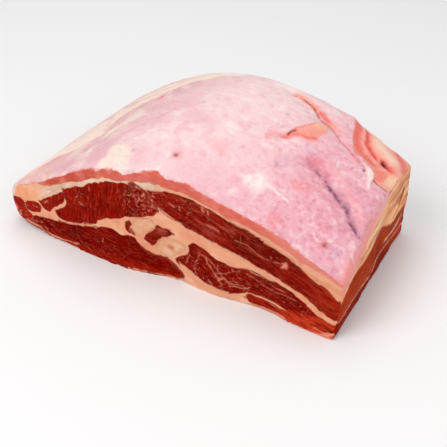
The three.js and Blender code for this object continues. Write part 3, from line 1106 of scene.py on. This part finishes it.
# How far the lean under the membrane shows past the top edge of the cut face, by place along it
BARE_RIM = [
    (20, -3.0), (30, -2.0), (34, -0.6), (48, -1.3), (60, -0.4), (67.5, 0.1), (73, 0.3), (86, 0.3),
    (98.5, 0.6), (104, -1.0), (107.5, -3.6), (111, -2.2), (115, -0.9), (123.5, 0.6), (130.5, 0.9),
    (135, -0.3), (145, -0.6),
]

# Heights on the right half of the cut face: the foot of the membrane, the foot of the lean below it, and how
# thick the fat is that covers the muscle there
FILM_FOOT = [
    (158, 76.8), (168, 73.6), (178, 71.8), (189, 69.5), (199, 67.4), (209, 64.3), (219, 60.8),
    (229.5, 56.6), (239.5, 53.2), (249, 49.6), (257, 45),
]
LEAN_FOOT = [
    (150, 30), (155, 69), (167, 66.2), (180, 64), (192, 62.7), (205, 60.1), (213, 57), (221, 54.6),
    (229, 51.3), (237, 49.3), (245, 47.4), (256, 43.4),
]
COVER_THICKNESS = [(180, 1.7), (192, 2.2), (205, 2.9), (213, 3.6), (221, 3.9)]

# A depth from a piece's border that is too far in for the border's fraying to show
NO_BORDER = 4.0


def paint_membrane(place):
    """The pale membrane of the top with its pink, cream and white zones."""
    plan = plan_of(place)
    along, back = plan.T
    wander = rough(place, 24, 61, 3)
    fine = rough(place, 6, 62, 3)
    lumps = rough(place, 9, 63, 3)
    mottle = rough(place, 2.4, 64, 2)
    ragged = shaken(plan, place, 3.0, 7, 18)
    fine_ragged = shaken(plan, place, 1.2, 5, 18)
    left = 1 - step(50, 115, along - 0.2 * back + 14 * wander)
    right = step(138, 218, along - 0.15 * back + 16 * wander)
    lilac = step(190, 240, along + 10 * wander) * (1 - step(30, 75, back + 10 * wander))
    near = (1 - step(2, 30, back + 8 * wander)) * step(110, 160, along)
    rim = area(FAR_RIM + FAR_RIM_OUTSIDE, ragged, 2.0)
    past_rim = step(9, 26, distance_to(FAR_RIM, ragged)) * step(-0.5, 0.3, lumps + 0.6 * wander)
    hem = step(251.5, 255.5, along + 0.9 * fine - 1.8 * (1 - step(18, 40, back)))
    return coats(
        base_coat(MEMBRANE, place),
        ((230, 178, 178), 0.85 * left),
        ((218, 164, 172), 0.5 * left * step(0.0, 0.5, lumps)),
        ((246, 226, 212), 0.6 * left * step(0.0, 0.5, -lumps)),
        ((238, 170, 182), 0.85 * right),
        ((228, 158, 172), 0.5 * lilac),
        ((236, 178, 190), 0.6 * near),
        ((236, 172, 180), 0.45 * step(0.1, 0.55, -fine) * (1 - 0.7 * left)),
        ((255, 240, 236), 0.45 * step(0.15, 0.6, fine)),
        ((255, 234, 216), rim * (0.85 - 0.6 * past_rim)),
        ((250, 200, 182), 0.6 * rim * stroke(FAR_RIM_BLUSH, ragged, 2.5, 3)),
        ((224, 150, 150), 0.6 * stroke(FAR_RIM[1:], ragged, 0.5, 1.4) * step(-0.4, 0.3, fine)),
        *((colour, share * patch(centre, size, ragged, 0.5))
          for colour, share, spots in PATCHES for centre, size in spots),
        *(((196, 136, 144), 0.6 * stroke(line, fine_ragged, 0.3, 0.9)) for line in WRINKLES),
        (WHITE, 0.75 * stroke(WHITE_LINE, fine_ragged, 0.7, 1.4)),
        ((214, 130, 154), 0.55 * right * step(0.1, 0.6, mottle)),
        ((250, 218, 222), 0.5 * right * step(0.1, 0.6, -mottle)),
        (HEM, 0.8 * hem),
    )


def paint_marks(place, paint):
    """Knife marks, folds and the trimmed corner on the top, with painted shade in the slits, the hole and
    the pit.
    """
    flat = shaken(plan_of(place), place, 0.7, 4, 18)
    grain = rough(place, 3, 66, 2)
    torn = step(-0.5, 0.1, rough(place, 2.4, 20))
    flap = area(FLAP, flat, 0.8)
    trim = trim_share(flat)

    def lines(marks, mask=1.0):
        for colour, share, line, width, *gaps in marks:
            unbroken = step(*gaps, grain) if gaps else 1.0
            yield colour, share * mask * unbroken * groove(line, flat, width)

    return coats(
        paint,
        # these marks include the painted shade in the slit
        *lines(CUTS_AND_SLIT_SHADE),
        ((250, 160, 140), 0.9 * flap),
        ((252, 196, 168), 0.8 * flap * groove(FLAP_PALE, flat, 5)),
        *lines(FLAP_MARKS),
        ((250, 172, 152), 0.95 * trim),
        *lines(TRIM_MARKS, trim),
        ((250, 138, 118), 0.9 * trim * patch((242, 80), (4.6, 9), flat, 0.3)),
        ((252, 206, 172), 0.9 * trim * patch((249.4, 84), (3.4, 8), flat, 0.4)),
        *lines(HOLE_MARKS),
        ((255, 236, 226), 0.85 * area(FLAKE, flat, 0.7) * (0.55 + 0.45 * torn)),
        ((255, 232, 224), 0.7 * stroke(FLAKE_BITS, flat, 0.8, 0.8) * torn),
        *lines(SPOT_MARKS),
    )


def rim_depth(piece):
    """How far a place lies past the bare rim: up on the top or, below zero, down the cut face."""
    top, front = piece.on["top"], piece.on["front"]
    edge = piece.place[front & top]
    edge = edge[np.argsort(-edge[:, 2])]
    highest = np.unique(np.floor(edge[:, 0] / 2), return_index=True)[1]
    edge_x, edge_y, edge_z = edge[highest].T
    x, y, z = piece.place.T
    along = x - LEFT_END_X
    edge_up = np.interp(x, edge_x, edge_z)
    past_edge = np.where(top, np.maximum(y - np.interp(x, edge_x, edge_y), 0), z - edge_up)
    right = step(150, 160, along)
    bare = level(BARE_RIM, along) * (1 - right) + np.clip(level(FILM_FOOT, along) - edge_up, -6, 1) * right
    elsewhere = ~top & ~front
    depth = np.where(elsewhere & piece.on["right"], NO_BORDER, past_edge - bare)
    return np.where(elsewhere & piece.on["back"], 2.2 * rough(piece.place, 11, 23, 2) - 2.4, depth)


def paint_skin(piece):
    """The membrane with its marks, and the salmon lean that shows below the membrane's rim."""
    place = piece.place
    along, up = face_of(place).T
    wander = rough(place, 8, 73, 2)
    below = level(LEAN_FOOT, along) - up + 0.6 * wander
    under_cover = step(-0.3, 0.4, below - level(COVER_THICKNESS, along)) * (1 - step(214, 222, along))
    lean = coats(
        base_coat(SALMON, place),
        ((196, 70, 46), 0.8 * (1 - step(60, 110, along))),
        ((232, 138, 122), 0.8 * step(190, 225, along)),
        ((244, 150, 136), 0.4 * step(0.1, 0.6, wander)),
        ((238, 172, 138), 0.9 * step(-0.3, 0.5, below)),
        ((124, 20, 8), 0.95 * under_cover),
        ((246, 178, 140), 1 - step(28, 33, along + 2 * wander)),
    )
    paint = paint_marks(place, paint_membrane(place))
    return paint_right_end(piece, paint), {"Under": lean, "Rim": rim_depth(piece)}


# Paint on the right end: the membrane's lower edge, the foot of its fringe and the pale seam
END_FILM = [
    (-5, 30), (5.5, 34), (15, 39), (24.3, 42.5), (34.7, 48.5), (40, 54), (46, 57.5), (57.4, 58),
    (66, 59), (78, 70), (130, 90),
]
END_FRINGE = [
    (-5, 26), (7.4, 32), (14, 36), (21.8, 38.4), (30, 37.4), (39, 36), (47, 37), (56, 39.6), (64, 42.4),
    (72.6, 40), (81, 36), (96, 30), (130, 24),
]
END_SEAM = [
    (-4, 15), (4, 12.6), (12, 12), (25, 12), (36, 11.4), (47, 10.2), (57, 8.6), (63, 10), (68, 16.6),
    (73, 17.6), (82, 14.4), (93, 13.4), (117, 11.2), (130, 9),
]
END_GREY = [(44, 45.4), (55, 45.8), (64, 47), (73, 45)]
END_TOP_LINE = [(83, 55.4), (92, 53.4), (100, 52.9), (115, 54), (126, 55.6)]
END_DARK = (146, 54, 16)
END_PALE = (255, 192, 140)

# Lines on the right end: colour, share, line, half width and softness
END_LINES = [
    (END_DARK, 0.8, [(86, 26.6), (99.5, 25), (105, 28), (118, 28.4)], 2.2, 1.8),
    (END_DARK, 0.8, [(104, 39), (107, 41), (111, 46.6)], 2.2, 1.8),
    (END_PALE, 0.85, [(80, 22.5), (93, 19.4), (107, 19.2), (116, 21.4)], 1.0, 1.2),
    (END_PALE, 0.85, [(88, 33.4), (100, 31.6), (112, 32.4)], 1.0, 1.2),
    ((252, 182, 140), 0.85, END_SEAM, 0.5, 0.9),
]


def paint_right_end(piece, paint):
    """Brownish muscle, its red partly painted orange bounce light, over a thin pale seam, with the membrane
    and its fringe hanging over it.
    """
    end = piece.on["right"] & ~piece.on["front"] & ~piece.on["top"]
    place = piece.place[end]
    back, up = place[:, 1] - FRONT_CORNER_Y, place[:, 2]
    streaks = rough(place, 1.6, 75, 3, (1, 7, 1))
    layers = rough(place, 3.2, 77, 2, (1, 9, 1))
    ragged = np.column_stack([back, up + 1.2 * rough(place, 4, 76, 2, (1, 2, 1))])

    def above(line, soft):
        return step(-soft, soft, ragged[:, 1] - level(line, back))[:, None]

    low = 1 - above(END_SEAM, 0.6)[:, 0]
    # Brownish red: the muscle's own red with painted orange bounce light
    brownish_bounce_lit = coats(
        base_coat((176, 54, 8), place),
        ((104, 26, 0), 0.7 * step(0.0, 0.5, streaks)),
        ((200, 96, 48), 0.45 * step(0.2, 0.65, -streaks)),
        ((142, 16, 0), 0.9 * low),
        ((206, 70, 34), 0.7 * low * step(84, 104, back)),
        ((76, 4, 0), 0.6 * low * step(0.0, 0.5, streaks)),
    )
    fringe = coats(
        base_coat((246, 180, 130), place),
        ((226, 138, 96), 0.8 * step(-0.1, 0.4, layers)),
        ((255, 212, 174), 0.6 * step(0.0, 0.45, -layers)),
        ((176, 80, 40), 0.75 * step(0.05, 0.45, streaks) * step(-0.45, 0.1, layers)),
        ((176, 126, 84), 0.6 * stroke(END_GREY, ragged, 2.2, 2.4) * step(-0.5, 0.2, streaks)),
    )
    hanging = above(END_FRINGE, 1.4)
    layer = coats(
        brownish_bounce_lit * (1 - hanging) + fringe * hanging,
        *((colour, share * stroke(line, ragged, width, soft))
          for colour, share, line, width, soft in END_LINES),
    )
    film = above(END_FILM, 0.7)
    layer = layer * (1 - film) + paint_membrane(place) * film
    paint = paint.copy()
    paint[end] = coats(layer, ((178, 92, 50), 0.7 * stroke(END_TOP_LINE, ragged, 0.8, 1.0)))
    return paint


# Paint on the cut face: lean

LEAN_RED = {
    "upper_muscle_left": (152, 18, 4),
    "upper_lobe": (158, 26, 12),
    "upper_muscle_right": (146, 20, 6),
    "tip_muscle": (166, 26, 14),
    "nose_muscle": (178, 30, 20),
    "lower_muscle_left": (128, 6, 0),
    "lower_muscle_right": (138, 14, 4),
    # The base muscle's bright red is partly a painted orange glow of light from below
    "base_muscle": (216, 64, 32),
    "seam_lean": (142, 28, 14),
    "seam_wedge": (142, 26, 12),
}
FAT_ON_LEAN = (238, 168, 134)
PALE_FOOT = (240, 160, 132)

# Pale fat threads and flecks, as lines with a half width, all drawn a little thinner than that
THREAD_THINNING = 0.75
THREAD_SHARE = 0.65
FAT_THREADS = [
    ([(79.8, 59.8), (79.4, 57.2)], 0.6),
    ([(69, 44.2), (70.4, 42.8), (72.8, 42.6)], 0.5),
    ([(67, 47), (69, 51)], 0.35),
    ([(85.6, 16.6), (86.2, 20)], 0.5),
    ([(120.6, 66.8), (119.4, 64.6)], 1.0),
    ([(117.2, 63.6), (117.2, 61.8), (118.7, 60.6)], 0.5),
    ([(122, 67.6), (123.4, 63.8)], 0.45),
    ([(125.5, 66.5), (126.8, 65.5)], 0.7),
    ([(124.8, 59.2), (125.2, 57.4), (126.8, 56.3), (128.6, 55.8), (130, 54.4)], 0.45),
    ([(116, 53.3)], 0.5),
    ([(122, 57.3)], 0.5),
    ([(137, 62.5), (139.8, 60.6)], 0.6),
    ([(159, 66), (160.4, 63)], 1.0),
    ([(163, 64.4), (163.6, 62.4)], 0.8),
    ([(162, 54.6), (167, 53.6), (172, 53)], 0.4),
    ([(184, 50), (192, 49), (197, 46.4), (204, 43.6), (212, 43.4), (217, 45)], 0.4),
    ([(218.6, 46), (217.6, 43), (216.6, 41.4)], 1.4),
    ([(208.5, 46.4), (209, 45.6)], 0.4),
    ([(213, 48), (213.6, 47.2)], 0.4),
    ([(148.6, 18), (149.6, 22), (150.6, 26)], 0.45),
    ([(155, 21), (157, 25), (158, 29)], 0.35),
    ([(158, 29.6), (165, 28.4), (171, 23.6), (175.6, 18.4), (181, 14.4), (189, 15.4), (194, 13.4)], 0.5),
    ([(163, 29), (164, 25), (167, 23), (169, 20), (171, 17)], 0.4),
    ([(170, 18), (174, 20), (178, 21.6), (181, 24)], 0.35),
    ([(195.6, 29), (204, 27.4), (211.4, 24), (219.6, 22.4)], 0.3),
    ([(171, 17), (173, 14), (176, 12), (175, 10)], 0.55),
    ([(173, 14), (176, 17)], 1.1),
    ([(181, 12.6), (187, 13), (192, 13.6), (195, 16)], 0.55),
    ([(192, 26), (198, 24.6), (205, 22)], 0.35),
    ([(205, 21.6), (213, 19.6), (220, 20), (228, 19)], 0.35),
    ([(158, 8), (160.4, 6.4)], 0.4),
    ([(166, 12), (167.4, 9)], 0.45),
    ([(219, 14)], 0.5),
    ([(223, 15)], 0.4),
    ([(231, 16.6)], 0.5),
    ([(235, 13)], 0.5),
    ([(24, 23.6), (28, 23.8)], 0.4),
    ([(36, 30.6), (38.6, 33.4)], 0.6),
    ([(9, 12.6), (11, 14)], 0.8),
    ([(24, 9.6), (26, 10.4)], 0.5),
    ([(29, 12), (31, 11.4)], 0.4),
    ([(27, 6.8), (28.4, 6.4)], 0.6),
]

# Where marbling is dense: centre, half size and strength
MARBLED = [
    ((120, 60), (16, 12), 1.0),
    ((140, 62), (14, 9), 0.7),
    ((172, 18), (28, 14), 0.6),
    ((215, 18), (36, 10), 0.4),
    ((175, 56), (36, 9), 0.35),
    ((30, 10), (16, 6), 0.8),
    ((75, 10), (30, 10), 0.35),
    ((10, 16), (12, 9), 0.8),
    ((70, 47), (16, 8), 0.4),
]

# Its strength elsewhere on the cut face, and behind it
MARBLE_ELSEWHERE = 0.12
MARBLE_BEHIND = 0.5

# Borders that show inside a piece: the piece painted over, the tissue painted there and its outline
MOVED_BORDERS = [
    ("upper_muscle_right", "fat", [
        (148, 46), (158.6, 45.1), (165, 43.7), (171.6, 42.6), (177, 41.8), (182, 40.4), (187, 38.6),
        (193, 36.9), (200, 34.6), (208, 33.4), (215, 31), (223, 28.2), (223, 20), (148, 20),
    ]),
    ("lower_muscle_right", "fat", [
        (170, 32), (175, 29.9), (180, 29), (186, 28.9), (193, 29.7), (200.6, 28.6), (208, 28.3),
        (212, 28.4), (212, 40), (170, 40),
    ]),
    ("lower_muscle_right", "fat", [
        (143, 17), (148.3, 14.4), (155.4, 11.5), (162.5, 8.6), (170.5, 7.2), (181, 6.2), (181, -2),
        (143, -2),
    ]),
    ("fat", "lean", [
        (110, 27.6), (115.8, 23.8), (119.5, 20), (126.4, 17.6), (132.7, 18), (139, 14.6), (143.6, 10),
        (147, 6), (146, 3), (130, -2), (110, -2),
    ]),
    ("fat", "lean", [(222, 10), (240, 9), (259, 7.4), (259, -2), (222, -2)]),
    ("fat", "lean", [
        (154, 67.6), (167, 64.6), (180, 62.3), (192, 60.5), (205, 57.2), (213, 53.4), (221, 50.7),
        (221, 44), (154, 54),
    ]),
    ("upper_muscle_right", "fat", [
        (215, 52.8), (221, 50.7), (229.5, 45.8), (236, 43.4), (243, 40.6), (249, 36.8), (254, 32.6),
        (260, 29), (260, 60), (215, 60),
    ]),
    ("fat", "lean", [(53.5, 44.5), (55, 50), (59, 50.4), (59, 41), (56.4, 40), (55, 42)]),
    ("fat", "lean", [
        (16, 23.8), (24.4, 27.5), (29.7, 27.9), (32.3, 24.4), (27.9, 19), (21.3, 17.1), (17.1, 18),
    ]),
    ("fat", "lean", [(133, 41.6), (135, 41.6), (139.8, 38.2), (134, 37.6)]),
    ("fat", "lean", [
        (48, 30), (51, 24.6), (57, 23.8), (66.6, 26), (74.5, 29), (80, 32), (80, 29.9), (74, 26.6),
        (63.4, 23.2), (55.3, 21.8), (50.4, 22.4), (47.4, 24),
    ]),
    ("fat", "lean", [
        (47, 20.4), (50.1, 20.3), (55.3, 19.8), (63.4, 21.2), (74.2, 24.6), (81, 28.4), (85, 28.6),
        (74.1, 23), (63.3, 19.8), (52.5, 18.2), (46.6, 18.2),
    ]),
]
BORDER_REACH = 1.6

# The pale lip of the lower left muscle, just above the edge where the chunk draws in
LOW_LIP_RISE = 2.3
LOW_LIP = [(along, up + LOW_LIP_RISE) for along, up in LIP_HEIGHT[2:9]] + [(60, 4), (63, 5.4)]

# The brighter foot at the right, red with a painted orange glow from below, which runs from the base muscle
# into the muscle above it
FOOT_GLOW_RED = (212, 62, 32)
GLOWING_FOOT = [(220, 8.6), (228, 10.2), (235, 11.4), (246, 13), (253, 12.6), (260, 12), (260, -2), (220, -2)]

# Spots on single muscles: the muscle, colour, share, centre, half size and softness
LEAN_SPOTS = [
    # The nose spots are pink flecks that also stand in as painted glints
    ("nose_muscle", (240, 128, 118), 0.85, (4.6, 14), (2.6, 3), 0.5),
    ("nose_muscle", (246, 150, 120), 0.85, (8, 9.6), (1.8, 1.4), 0.5),
    ("seam_lean", (196, 96, 78), 0.6, (131, 38.6), (3.4, 2.6), 0.6),
    ("upper_muscle_right", (240, 120, 116), 0.9, (218.6, 43.6), (1.9, 2.2), 0.4),
]


def ragged_face(place):
    """Places on the cut face, shaken so that painted borders come out uneven."""
    return shaken(face_of(place), place, 0.9, 2.6, 33)


def border_depth(piece, tissue):
    """Depth from the piece's own border, put right where a border is painted elsewhere."""
    face = face_of(piece.place)
    depth = piece.inward
    for name, painted, outline in MOVED_BORDERS:
        edge = distance_to(outline + outline[:1], face)
        inside = even_odd(face, [outline])
        if name == piece.name:
            depth = np.where(inside, NO_BORDER, np.minimum(depth, edge))
        elif painted == tissue:
            depth = np.where(inside | (edge < BORDER_REACH), NO_BORDER, depth)
    unfrayed = piece.on["right"] & ~piece.on["front"] | piece.on["under"]
    return np.where(unfrayed, NO_BORDER, depth)


def repaint(piece, paint, colour):
    """Paints the parts of a piece's cut face that belong to its neighbour's tissue."""
    outlines = [outline for name, _, outline in MOVED_BORDERS if name == piece.name]
    ragged, front = ragged_face(piece.place), piece.on["front"]
    return coats(paint, *((colour, 0.96 * area(outline, ragged, 0.4) * front) for outline in outlines))


def lean_tone(place):
    """Where lean is darker or, below zero, brighter."""
    return rough(place, 16, 21, 2)


def touch_upper_left(piece):
    """Fine pale flecks at the right of the upper left muscle."""
    flecks = step(0.1, 0.5, rough(piece.place, 1.7, 38, 2))
    return [((208, 110, 94), 0.5 * flecks * patch((120, 58), (17, 12), face_of(piece.place), 0.6))]


def touch_upper_right(piece):
    """Pale streaks along the fibres, a dark middle and a brighter right end."""
    face = face_of(piece.place)
    streaks = step(0.0, 0.5, rough(piece.fibre, 1.7, 36, 2, (6, 1, 3)))
    return [
        ((188, 44, 18), 0.4 * step(222, 250, face[:, 0])),
        ((96, 6, 0), 0.6 * patch((200, 50), (22, 9), face, 0.6)),
        ((206, 104, 84), 0.45 * streaks * patch((164, 58), (20, 9), face, 0.6)),
        ((196, 84, 62), 0.25 * streaks),
    ]


def touch_lower_left(piece):
    """A brighter foot, a painted orange glow from below on the red, with a pale lip below it."""
    along, up = face_of(piece.place).T
    ragged = ragged_face(piece.place)
    return [
        # painted orange glow from below on the foot's red
        ((176, 32, 8), 0.8 * (1 - step(3, 10, up + 2 * lean_tone(piece.place)))),
        ((236, 150, 124), 0.9 * stroke(LOW_LIP, ragged, 0.6, 0.8)),
        (PALE_FOOT, 0.9 * (1 - step(1.6, 2.6, ragged[:, 1])) * step(102, 112, along)),
    ]


def touch_lower_right(piece):
    """The bright foot, a painted orange glow from below on the red, streaked where it runs into the muscle.
    """
    streaks = step(-0.4, 0.4, rough(piece.fibre, 1.8, 37, 2, (5, 1, 3)))
    # painted orange glow from below on the foot's red
    return [(FOOT_GLOW_RED, area(GLOWING_FOOT, ragged_face(piece.place), 1.2) * (0.5 + 0.45 * streaks))]


def touch_base(piece):
    """A darker left half, a frayed right end and a pale foot."""
    along = face_of(piece.place)[:, 0]
    frayed_end = step(236, 246, along) * step(-0.3, 0.4, rough(piece.place, 1.6, 35, 2, (4, 1, 1)))
    foot_height = 1.3 + 1.5 * (1 - step(216, 230, along))
    return [
        ((164, 26, 10), 0.85 * (1 - step(206, 234, along))),
        ((246, 170, 140), 0.8 * frayed_end),
        (PALE_FOOT, 0.8 * (1 - step(-0.4, 0.4, ragged_face(piece.place)[:, 1] - foot_height))),
    ]


LEAN_TOUCHES = {
    "upper_muscle_left": touch_upper_left,
    "upper_lobe": touch_upper_left,
    "upper_muscle_right": touch_upper_right,
    "lower_muscle_left": touch_lower_left,
    "lower_muscle_right": touch_lower_right,
    "base_muscle": touch_base,
}


def paint_lean(piece):
    """Red lean, uneven in tone, with its own touches, marbling and fat threads on the cut face."""
    place, front, right = piece.place, piece.on["front"], piece.on["right"]
    face = face_of(place)
    tone = lean_tone(place)
    paint = coats(
        base_coat(LEAN_RED[piece.name], place),
        ((104, 4, 0), 0.5 * step(0.05, 0.6, tone)),
        ((180, 40, 18), 0.4 * step(0.1, 0.6, -tone)),
    )
    touches = LEAN_TOUCHES[piece.name](piece) if piece.name in LEAN_TOUCHES else []
    touches += [
        (colour, share * patch(centre, size, face, soft))
        for name, colour, share, centre, size, soft in LEAN_SPOTS if name == piece.name
    ]
    paint = np.where(front[:, None], coats(paint, *touches), paint)
    paint = paint_right_end(piece, repaint(piece, paint, FAT_ON_LEAN))
    fine_ragged = shaken(face, place, 0.5, 2.2, 31, 1)
    threads = [stroke(line, fine_ragged, THREAD_THINNING * width, 0.8) for line, width in FAT_THREADS]
    paint = coats(paint, *((FAT_THREAD, THREAD_SHARE * thread * front) for thread in threads))

    marble = MARBLE_BEHIND * step(-0.2, 0.6, rough(place, 14, 22, 2))
    dense = [strength * patch(centre, size, face, 0.6) for centre, size, strength in MARBLED]
    marble = np.where(front, np.maximum(MARBLE_ELSEWHERE, np.max(dense, axis=0)), marble)
    depth = border_depth(piece, "lean")
    marble = marble * (depth > 0.3) * ~right
    lean = (1 - step(0.05, 0.2, paint[:, 1])) * np.where(right & ~front, 0.3, 1)
    return paint, {"Marble": marble, "Inward": depth, "Lean": lean}


# Paint on the cut face: fat and cartilage

FAT = (240, 172, 138)
CARTILAGE = (232, 172, 138)

# Stains of lean on the fat: a shred, and the broken line between two muscles
STAIN = (134, 20, 8)
LEAN_SHRED = [(108.6, 36), (110, 33), (111.6, 31.2)]
BROKEN_LINE = [(113, 71.4), (120, 67), (124, 63.4), (127, 59)]

# The greyish cover fat at the upper left, and painted shade in a notch in the foot
GREY_BAND = [(32, 34), (45, 45), (55, 51.4), (67, 58.6), (80, 64.8), (99, 71), (115, 74), (130, 74)]
GREY_LINES = [[(33, 33.6), (41, 40.4), (49, 46.4), (58, 52.4)], [(40, 42.6), (50, 49.4), (62, 56.8)]]
NOTCH_SHADE = [(191, 6.2), (193, 5)]


def paint_fat(piece):
    """Cream fat, greyish under the top at the left and peach at the nose, stained by the lean beside it and
    painted red with an orange glow from below in the foot.
    """
    place, front = piece.place, piece.on["front"]
    face = face_of(place)
    along, up = face.T
    wander = rough(place, 10, 41, 2)
    ragged = ragged_face(place)
    paint = coats(
        base_coat(FAT, place),
        ((228, 198, 174), 0.85 * stroke(GREY_BAND, ragged, 4, 3)),
        ((244, 228, 210), 0.6 * stroke(GREY_BAND, ragged, 1, 1.4) * step(-0.2, 0.3, wander)),
        *(((176, 140, 116), 0.5 * stroke(line, ragged, 0.3, 0.6)) for line in GREY_LINES),
        ((248, 172, 128), 0.8 * patch((16, 34), (18, 9), face, 0.5)),
        ((230, 146, 108), 0.6 * step(215, 245, along) * step(20, 34, up)),
        ((248, 196, 166), 0.6 * step(0.1, 0.6, wander)),
        ((226, 136, 106), 0.45 * step(0.15, 0.65, -wander)),
    )
    paint = repaint(piece, paint, STAIN)
    broken = stroke(BROKEN_LINE, face, 3, 1) * step(-0.8, -0.4, rough(place, 2.2, 42, 2))
    low_left = (1 - step(46, 60, along)) * (1 - step(8, 12, up - 0.05 * along)) * front
    stained = coats(
        paint,
        # the foot's red with its painted orange glow from below
        (FOOT_GLOW_RED, 0.9 * area(GLOWING_FOOT, ragged, 1.2)),
        (STAIN, 0.9 * stroke(LEAN_SHRED, ragged, 0.9, 0.6)),
        (STAIN, 0.95 * broken),
        ((250, 196, 170), 0.8 * patch((191, 2.6), (3.4, 2.4), face, 0.5)),
        # painted shade in the notch
        ((110, 40, 24), 0.8 * stroke(NOTCH_SHADE, face, 0.5, 0.6)),
        ((146, 34, 20), 0.9 * low_left),
        ((244, 176, 146), 0.9 * stroke(LOW_LIP, face, 0.7, 0.8)),
    )
    paint = paint_right_end(piece, np.where(front[:, None], stained, paint))
    unfrayed = (low_left > 0.5) | (broken > 0.5)
    return paint, {"Inward": np.where(unfrayed, NO_BORDER, border_depth(piece, "fat"))}


def paint_cartilage(piece):
    """Beige cartilage, darker at its rim; the upper one has a red line, the lower one a sore spot."""
    face = face_of(piece.place)
    paint = coats(
        base_coat(CARTILAGE, piece.place),
        ((246, 204, 172), 0.6 * step(0, 0.6, rough(piece.place, 6, 51, 2))),
        ((214, 146, 108), 0.6 * np.exp(-piece.inward / 0.9)),
    )
    if piece.name == "cartilage_upper":
        paint = coats(paint, ((140, 36, 20), 0.85 * stroke([(106, 41), (111, 42)], face, 0.8, 0.8)))
    else:
        paint = coats(paint, ((206, 96, 76), 0.7 * patch((137, 27), (2.4, 2), face, 0.6)))
    return paint, {"Inward": piece.inward + 3}


# The pieces

copies = {name: loose_copy(node) for name, node in frame["nodes"].items()}
everything = tree_of(copies.values())
hull = smooth_hull(copies)
slots = {part["node"]: part["material_slot"] for part in frame["record"]["subparts"]}
materials = {
    "lean": lean_material("lean", 0.9),
    "marbled_lean": lean_material("marbled_lean", 1.0),
    "bright_lean": lean_material("bright_lean", 0.8),
    "fat": pale_material("fat", 0.42, (0.96, 0.86, 0.8)),
    "cartilage": pale_material("cartilage", 0.38, (0.96, 0.9, 0.84)),
    "skin": skin_material("skin"),
}
painters = {"fat": paint_fat, "cartilage": paint_cartilage, "skin": paint_skin}
reliefs = {"fat": fat_relief, "cartilage": fat_relief, "skin": skin_relief}
for name, bm in copies.items():
    piece = Piece(name, bm, everything, hull)
    slot = slots[name]
    paint, extras = painters.get(slot, paint_lean)(piece)
    piece.raise_by(reliefs.get(slot, lean_relief)(piece))
    shape_foot(piece)
    piece.finish(paint, extras, materials[slot])


# Floor, light and camera

FLOOR_HALF = 4.0
FLOOR_GREY = 0.93
WORLD_STRENGTH = 0.5
LIGHT_TARGET = Vector((0, 0, 0.04))

# Soft lights: place, size and power
LIGHTS = {
    "key": ((-0.3, -0.85, 1.05), 0.8, 7.0),
    "top": ((-0.1, 0.2, 1.3), 1.0, 4.0),
    "fill": ((1.1, -0.2, 0.6), 0.9, 2.6),
}

# The camera, from the photo's viewing angle
ELEVATION = math.radians(37.589)
AZIMUTH = math.radians(32.043)
DISTANCE = 592.47 * MM
LOOK_AT = Vector((4.946, 9.076, 0.0)) * MM
FOCAL_PIXELS = 800.0
FRAME_PIXELS = 447.0

scene = bpy.context.scene
floor_mesh = bpy.data.meshes.new("floor")
corners = [(x * FLOOR_HALF, y * FLOOR_HALF, 0) for x, y in ((-1, -1), (1, -1), (1, 1), (-1, 1))]
floor_mesh.from_pydata(corners, [], [(0, 1, 2, 3)])
floor = bpy.data.objects.new("floor", floor_mesh)
scene.collection.objects.link(floor)
floor_finish = Finish("floor", 0.8, 0.0, 0.2)
floor_finish.shader.inputs["Base Color"].default_value = (FLOOR_GREY, FLOOR_GREY, FLOOR_GREY, 1)
floor_mesh.materials.append(floor_finish.material)

scene.world = bpy.data.worlds.new("studio")
scene.world.use_nodes = True
background = scene.world.node_tree.nodes["Background"]
background.inputs["Color"].default_value = (1, 1, 1, 1)
background.inputs["Strength"].default_value = WORLD_STRENGTH
for name, (place, size, power) in LIGHTS.items():
    light = bpy.data.lights.new(name, "AREA")
    light.shape = "DISK"
    light.size = size
    light.energy = power
    lamp = bpy.data.objects.new(name, light)
    lamp.location = place
    lamp.rotation_euler = (LIGHT_TARGET - Vector(place)).to_track_quat("-Z", "Y").to_euler()
    scene.collection.objects.link(lamp)

lens = bpy.data.cameras.new("camera")
lens.sensor_width = 36.0
lens.lens = lens.sensor_width * FOCAL_PIXELS / FRAME_PIXELS
camera = bpy.data.objects.new("camera", lens)
backward = Vector((
    math.sin(AZIMUTH) * math.cos(ELEVATION),
    -math.cos(AZIMUTH) * math.cos(ELEVATION),
    math.sin(ELEVATION),
))
camera.location = LOOK_AT + backward * DISTANCE
camera.rotation_euler = (math.pi / 2 - ELEVATION, 0, AZIMUTH)
scene.collection.objects.link(camera)
scene.camera = camera
scene.view_settings.view_transform = "Standard"
